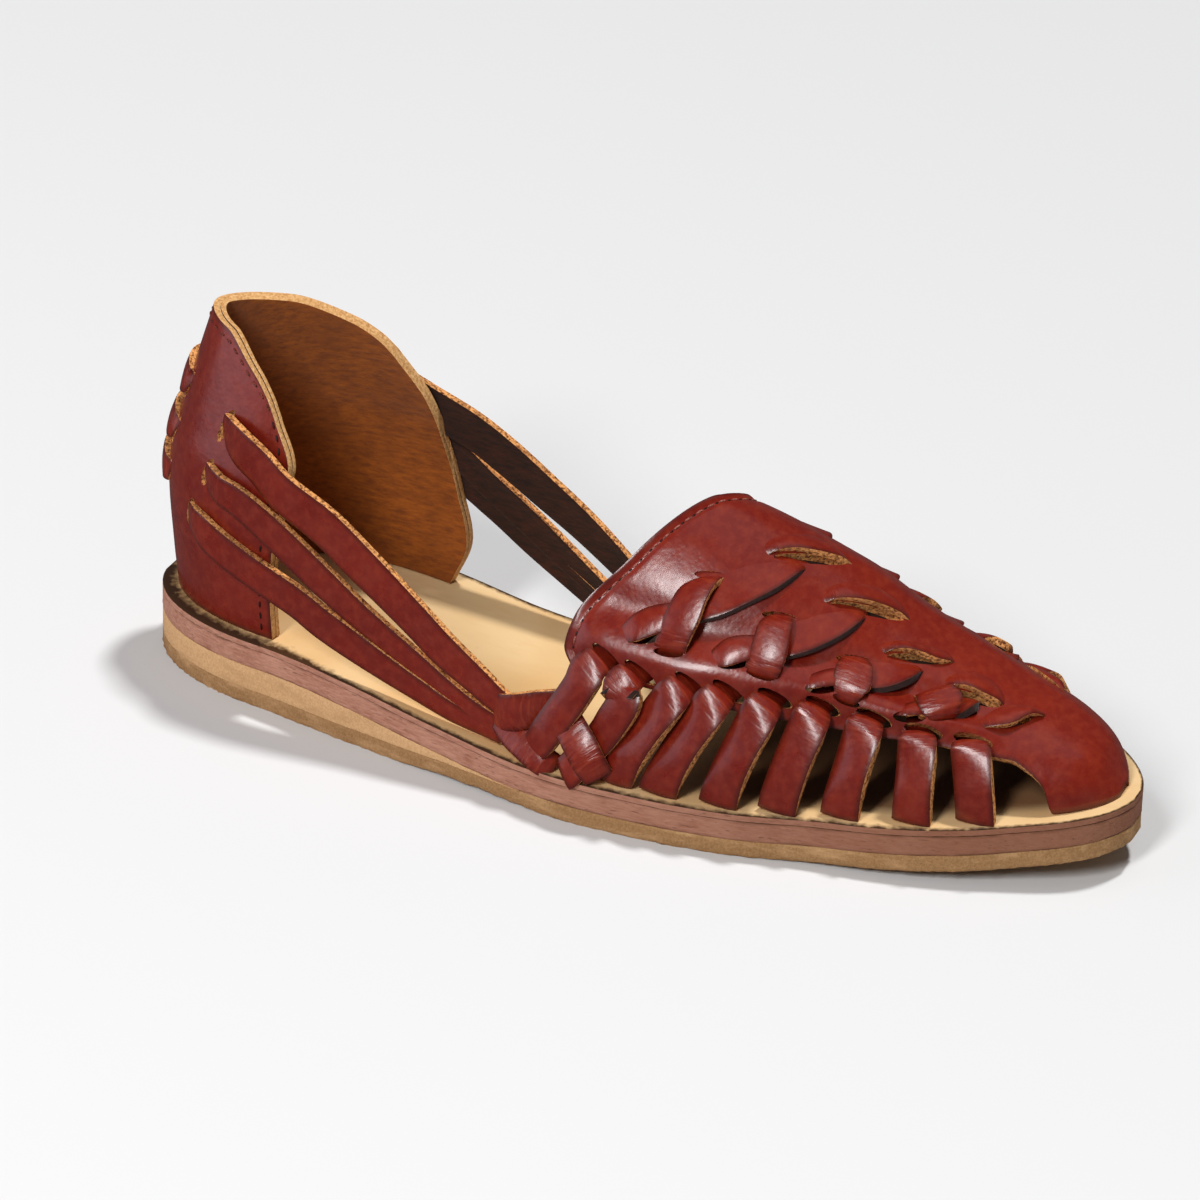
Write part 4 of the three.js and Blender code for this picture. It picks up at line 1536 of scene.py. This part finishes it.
# ---- heel counter -------------------------------------------------------------------
# A thong round the counter as rows of walk, height, depth and width, then free of it as rows
# of x, y, z and width.
LATERAL_THONGS = [
    {
        "wrap": (
            (0.96, 52.6, -0.1, 6), (1, 51.9, -0.9, 8), (1.06, 51, -1.8, 9.4),
            (1.16, 49.2, -2.5, 10.6), (1.29, 46.5, -2.5, 10.8), (1.43, 42.6, -2.5, 10.8),
        ),
        "free": (
            (27.6, 57, 54.3, 11), (29, 67, 47.8, 11), (30.2, 75, 42.6, 10.6),
            (31.8, 83, 37.6, 10.2), (33.4, 91, 32.4, 9.8), (35, 100, 27.6, 8.6),
            (36.2, 107, 23.8, 7.4), (36.6, 112, 21.5, 6.5),
        ),
    },
    {
        "wrap": (
            (0.9, 40, -0.1, 5), (0.93, 39.5, -0.8, 6.4), (0.98, 38.8, -1.7, 7.4),
            (1.06, 37.6, -2.3, 8), (1.17, 36.6, -2.3, 8.4), (1.355, 32.9, -2.3, 9),
        ),
        "free": (
            (27.8, 50, 44.8, 9), (28.6, 57.5, 39.9, 8.8), (29.6, 66, 34.8, 8),
            (30.7, 75, 30, 7.5), (32, 83, 26.3, 7), (33.4, 92, 21.8, 6.5),
            (35, 100, 18.8, 6), (36, 107, 17, 5.5),
        ),
    },
    {
        "wrap": (
            (0.76, 27.6, -0.1, 5), (0.79, 27, -0.8, 6.5), (0.85, 26, -1.7, 7.6),
            (0.93, 25, -2.3, 8.6), (1.04, 22.8, -2.3, 9), (1.25, 19.3, -2.3, 9),
        ),
        "free": (
            (28.2, 50, 32.6, 9), (29, 57, 29.2, 9), (30.2, 66, 25.8, 8.6),
            (31.4, 75, 22.6, 7.6), (32.8, 84, 19.8, 6.6), (34.2, 94, 16.8, 5.6),
            (35.4, 103, 15.3, 5), (36.2, 108, 14.8, 5),
        ),
    },
]
MEDIAL_THONGS = [
    {
        "wrap": (
            (-0.98, 56, -0.1, 6), (-1.01, 55.4, -0.9, 8), (-1.07, 54.4, -1.8, 9.6),
            (-1.3, 51.8, -2.5, 10.8), (-1.5, 48.4, -2.5, 11), (-1.7, 44.6, -2.5, 11),
        ),
        "free": (
            (-30.8, 70, 58.2, 10.4), (-30.4, 80, 52.8, 10.2), (-29.6, 90, 46.8, 9.8),
            (-28.6, 101, 40.2, 9), (-27.4, 110, 34.2, 8), (-26.6, 117, 28.8, 7),
        ),
    },
    {
        "wrap": (
            (-0.91, 43.8, -0.1, 5), (-0.94, 43.4, -0.8, 6.4), (-0.98, 42.8, -1.7, 7.4),
            (-1.2, 41.4, -2.3, 8), (-1.5, 38.4, -2.3, 8), (-1.8, 34.2, -2.3, 8),
        ),
        "free": (
            (-31.4, 75, 44, 8), (-30.6, 86, 36.8, 8), (-29.6, 96, 30.2, 7.5),
            (-28.4, 106, 24, 6.5), (-27, 114, 19.5, 6),
        ),
    },
    {
        "wrap": (
            (-0.77, 29.6, -0.1, 5), (-0.8, 29.2, -0.8, 6.5), (-0.85, 28.6, -1.7, 7.6),
            (-1.1, 28, -2.3, 8.4), (-1.45, 28, -2.3, 8.4), (-1.8, 27.4, -2.3, 8),
        ),
        "free": (
            (-31.8, 76, 38, 7.5), (-30.8, 87, 30.8, 7), (-29.6, 97, 25, 6.5),
            (-28.2, 107, 19.5, 6), (-27.2, 113, 16.5, 5.5),
        ),
    },
]
BACK_LOOPS = {"top": 57.5, "middle": 45.5, "bottom": 34}
LOOP_WALK = 0.38
LOOP_DROP = 3
LOOP_WIDE = 7.2
SLIT_LEAN = 0.35  # how far a slit in the counter leans forward for each mm of its height
LINING_GAP = 0.08
LOOP_STEPS = table(
    "across depth wide",
    (-1.06, 0, 0.7),
    (-0.99, -0.5, 0.88),
    (-0.85, -1.4, 1),
    (-0.45, -2.0, 1),
    (0, -2.1, 1),
    (0.45, -2.0, 1),
    (0.85, -1.4, 1),
    (0.99, -0.5, 0.88),
    (1.06, 0, 0.7),
)
COUNTER_GRID = (150, 84)


def counter_spot(walk, up, heading, diameters):
    """A lens-shaped hole through the counter; heading is its long way as (around, up)."""
    normal = counter_normal(walk, up)
    around = unit(np.cross([0.0, 0.0, 1.0], normal))
    long_way = unit(around * heading[0] + np.cross(normal, around) * heading[1])
    return counter(walk, up), (long_way, np.cross(normal, long_way), normal), diameters


def counter_holes():
    """The holes that the thongs and the back loops go through."""
    spots = []
    for side, thongs in ((1, LATERAL_THONGS), (-1, MEDIAL_THONGS)):
        for thong in thongs:
            walk, up, _, width = thong["wrap"][1]
            slit = (width + 2, 2.8, 3.4)
            spots.append(counter_spot(walk - side * 0.01, up, (SLIT_LEAN * side, 1), slit))
    for up in BACK_LOOPS.values():
        for side in (1, -1):
            walk, low = side * (LOOP_WALK + 0.01), up - LOOP_DROP
            spots.append(counter_spot(walk, low, (SLIT_LEAN * side, 1), (9, 2.6, 3.4)))
    return spots


class SANDAL_OT_counter(bpy.types.Operator):
    """Heel counter: outer leather, lining and their slots"""

    bl_idname = "sandal.counter"
    bl_label = "Heel counter"

    def execute(self, context):
        outer_wall = size("counter_outer")

        def outer_place(u, v):
            return counter(*counter_share(u, v))

        def lining_place(u, v):
            walk, up = counter_share(u, v)
            return counter(walk, up * 0.997, outer_wall + LINING_GAP)

        outer = sheet("counter_outer", *COUNTER_GRID, outer_place)
        thicken(outer, outer_wall, 0.35, (finish("grain"), finish("collar"), finish("flesh")))
        cut(outer, pods("thong_slot_cutters", counter_holes()))
        stand_for(outer, "upper_leather", "heel_counter")

        inner = sheet("counter_lining", *COUNTER_GRID, lining_place)
        leathers = (finish("flesh"), finish("collar"), finish("lining"))
        thicken(inner, size("counter_lining"), 0.35, leathers)
        stand_for(inner, "upper_leather", "heel_counter")
        return {"FINISHED"}


class SANDAL_OT_thongs(bpy.types.Operator):
    """Side thongs and the loops at the back of the heel"""

    bl_idname = "sandal.thongs"
    bl_label = "Thongs"

    def execute(self, context):
        thick = size("strap_thick")
        for side, word, thongs in ((1, "lateral", LATERAL_THONGS), (-1, "medial", MEDIAL_THONGS)):
            for number, thong in enumerate(thongs, 1):
                wrap = table("walk up depth width", *thong["wrap"])
                round_heel = counter(wrap["walk"], wrap["up"], wrap["depth"])
                rows = [*np.column_stack([round_heel, wrap["width"]]), *thong["free"]]
                rows = free_rows(rows, side)
                piece = strap(f"thong_{word}_{number}", rows, thick, 100, 0.25, ((0.03, 5),))
                stand_for(piece, "thong_leather", f"side_straps_{word}")
        across = LOOP_STEPS["across"]
        for name, up in BACK_LOOPS.items():
            walk, height = across * LOOP_WALK, up - LOOP_DROP * across * across
            normal = counter_normal(walk, height)
            side_way = np.cross(unit(np.cross([0.0, 0.0, 1.0], normal)), normal)
            places = counter(walk, height, LOOP_STEPS["depth"])
            rows = np.column_stack([places, side_way, LOOP_WIDE * LOOP_STEPS["wide"]])
            piece = strap(f"back_loop_{name}_strap", rows, thick, 40, 0.3, ((0.05, 4), (0.95, 4)))
            stand_for(piece, "thong_leather", f"back_loop_{name}")
        return {"FINISHED"}


# ---- stitching ----------------------------------------------------------------------
STITCH_STEP = 0.004  # a short share of a stitched line, over which its direction is taken


def stitch_row(name, places, normals, thread, share=0.62, lift_by=0.1, phase=0.5):
    """Thread stitches laid end to end along a line of places; phase 0 is between stitches."""
    line = through(np.concatenate([places, normals], 1), 400)
    walked = steps(line).sum()
    count = max(2, round(walked / size("stitch_pitch")))
    pitch = walked / count
    thick = size("thread_size")
    spots = []
    for i in range(count):
        middle = np.clip((i + phase) / count, STITCH_STEP, 1 - STITCH_STEP)
        row = sampled(line, np.array([middle - STITCH_STEP, middle + STITCH_STEP]))
        ahead = unit(row[1, :3] - row[0, :3])
        normal = unit(row[0, 3:6])
        side = unit(np.cross(ahead, normal))
        normal = np.cross(side, ahead)
        centre = (row[0, :3] + row[1, :3]) / 2 + normal * lift_by
        spots.append((centre, (ahead, side, normal), (pitch * share, thick, thick * 0.8)))
    piece = pods(name, spots, 8, 5)
    piece.data.materials.append(finish(thread))
    return stand_for(piece, "upper_leather")


class SANDAL_OT_stitching(bpy.types.Operator):
    """Stitching along the throat, the collar and the front edges of the counter"""

    bl_idname = "sandal.stitching"
    bl_label = "Stitching"

    def execute(self, context):
        inset = size("stitch_inset")
        share = np.linspace(-0.97, 0.97, 120)
        y = throat_at(share) + inset
        girth = share * saddle_edge(y)
        places = on_vamp(y, girth, saddle_swell(y, girth, inset))
        normals = vamp_slopes(y, girth)[2]
        stitch_row("stitch_throat", places, normals, "thread")
        # Dark pods between the stitches: painted shade of the awl holes.
        stitch_row("stitch_throat_holes", places, normals, "dark_thread", 0.34, -0.02, 0)

        across = np.linspace(0.02, 0.98, 140)
        along = 1 - inset / rim_height(2 * across - 1)
        walk, up = counter_share(across, along)
        stitch_row("stitch_collar", counter(walk, up), counter_normal(walk, up), "dyed_thread")
        for word, across in (("lateral", 0.978), ("medial", 1 - 0.985)):
            walk, up = counter_share(np.full(60, across), np.linspace(0.02, 0.94, 60))
            places, normals = counter(walk, up), counter_normal(walk, up)
            stitch_row(f"stitch_wing_{word}", places, normals, "dark_thread")
        return {"FINISHED"}


# ---- stage --------------------------------------------------------------------------
CAMERA_AT = Vector((1.0829, 0.4385, 0.6602))
CAMERA_FORWARD = Vector((-0.8419, -0.3147, -0.4384))
CAMERA_RIGHT = Vector((-0.3696, 0.9281, 0.0436))
CAMERA_TARGET = Vector((-0.004, -0.012, 0.034))
CAMERA_LENS = 166


class SANDAL_OT_stage(bpy.types.Operator):
    """Floor, soft studio light and camera"""

    bl_idname = "sandal.stage"
    bl_label = "Stage"

    def execute(self, context):
        scene = context.scene
        bpy.ops.object.select_all(action="DESELECT")
        bpy.ops.mesh.primitive_grid_add(x_subdivisions=8, y_subdivisions=8, size=8)
        floor = added("studio_floor")
        floor.data.materials.append(finish("paper"))
        floor.visible_glossy = False  # keeps the white paper out of the leather's shine

        world = bpy.data.worlds.new("soft_white")
        world.use_nodes = True
        sky = world.node_tree.nodes["Background"].inputs
        sky["Color"].default_value = (*linear("#F4F6F9"), 1)
        sky["Strength"].default_value = 0.1
        scene.world = world

        def light(name, kind, place, target, energy, tint, **settings):
            data = bpy.data.lights.new(name, kind)
            data.energy = energy
            data.color = linear(tint)
            for key, value in settings.items():
                setattr(data, key, value)
            lamp = bpy.data.objects.new(name, data)
            lamp.location = place
            aim = Vector(target) - Vector(place)
            lamp.rotation_mode = "QUATERNION"
            lamp.rotation_quaternion = aim.to_track_quat("-Z", "Y")
            scene.collection.objects.link(lamp)
            return lamp

        sun_size = math.radians(6)
        key = light("key", "SUN", (-0.55, 0.28, 1.9), (0, 0, 0), 2.45, "#FFFFFF", angle=sun_size)
        key.visible_glossy = False
        light(
            "side_soft", "AREA", (2.05, -0.2, 1.9), (0, 0, 0.04), 56, "#FFFFFF",
            shape="RECTANGLE", size=0.46, size_y=1.2,
        )
        light("top_soft", "AREA", (-0.3, 0.15, 2.2), (0, 0, 0), 4, "#FFFFFF", size=1.5)
        light("heel_soft", "AREA", (0.6, -1.3, 0.4), (0, -0.05, 0.04), 4.6, "#EEE6F4", size=1)

        back = CAMERA_TARGET - CAMERA_AT
        turn = CAMERA_FORWARD.rotation_difference(back.normalized())
        right = turn @ CAMERA_RIGHT
        forward = back.normalized()
        up = right.cross(forward).normalized()
        right = forward.cross(up)
        data = bpy.data.cameras.new("camera")
        data.lens = CAMERA_LENS
        data.sensor_width = 36
        camera = bpy.data.objects.new("camera", data)
        camera.matrix_world = Matrix(
            (
                (right.x, up.x, -forward.x, CAMERA_AT.x),
                (right.y, up.y, -forward.y, CAMERA_AT.y),
                (right.z, up.z, -forward.z, CAMERA_AT.z),
                (0, 0, 0, 1),
            )
        )
        scene.collection.objects.link(camera)
        scene.camera = camera
        scene.view_settings.view_transform = "Standard"
        return {"FINISHED"}


class SANDAL_PT_panel(bpy.types.Panel):
    """The sandal's operators, sizes and colours"""

    bl_idname = "SANDAL_PT_panel"
    bl_label = "Huarache sandal"
    bl_space_type = "VIEW_3D"
    bl_region_type = "UI"
    bl_category = "Sandal"

    def draw(self, context):
        for operator in OPERATORS:
            self.layout.operator(operator.bl_idname)
        for group in (context.scene.sandal_sizes, context.scene.sandal_colours):
            box = self.layout.box()
            for name in group.__annotations__:
                box.prop(group, name)


OPERATORS = (
    SANDAL_OT_stage,
    SANDAL_OT_sole,
    SANDAL_OT_saddle,
    SANDAL_OT_legs,
    SANDAL_OT_weave,
    SANDAL_OT_counter,
    SANDAL_OT_thongs,
    SANDAL_OT_stitching,
)


def register():
    for item in (SandalSizes, SandalColours, *OPERATORS, SANDAL_PT_panel):
        bpy.utils.register_class(item)
    bpy.types.Scene.sandal_sizes = PointerProperty(type=SandalSizes)
    bpy.types.Scene.sandal_colours = PointerProperty(type=SandalColours)


def unregister():
    del bpy.types.Scene.sandal_sizes
    del bpy.types.Scene.sandal_colours
    for item in (SANDAL_PT_panel, *reversed(OPERATORS), SandalColours, SandalSizes):
        bpy.utils.unregister_class(item)


def main():
    register()
    for operator in OPERATORS:
        getattr(bpy.ops.sandal, operator.bl_idname.split(".")[1])()


if __name__ == "__main__":
    main()
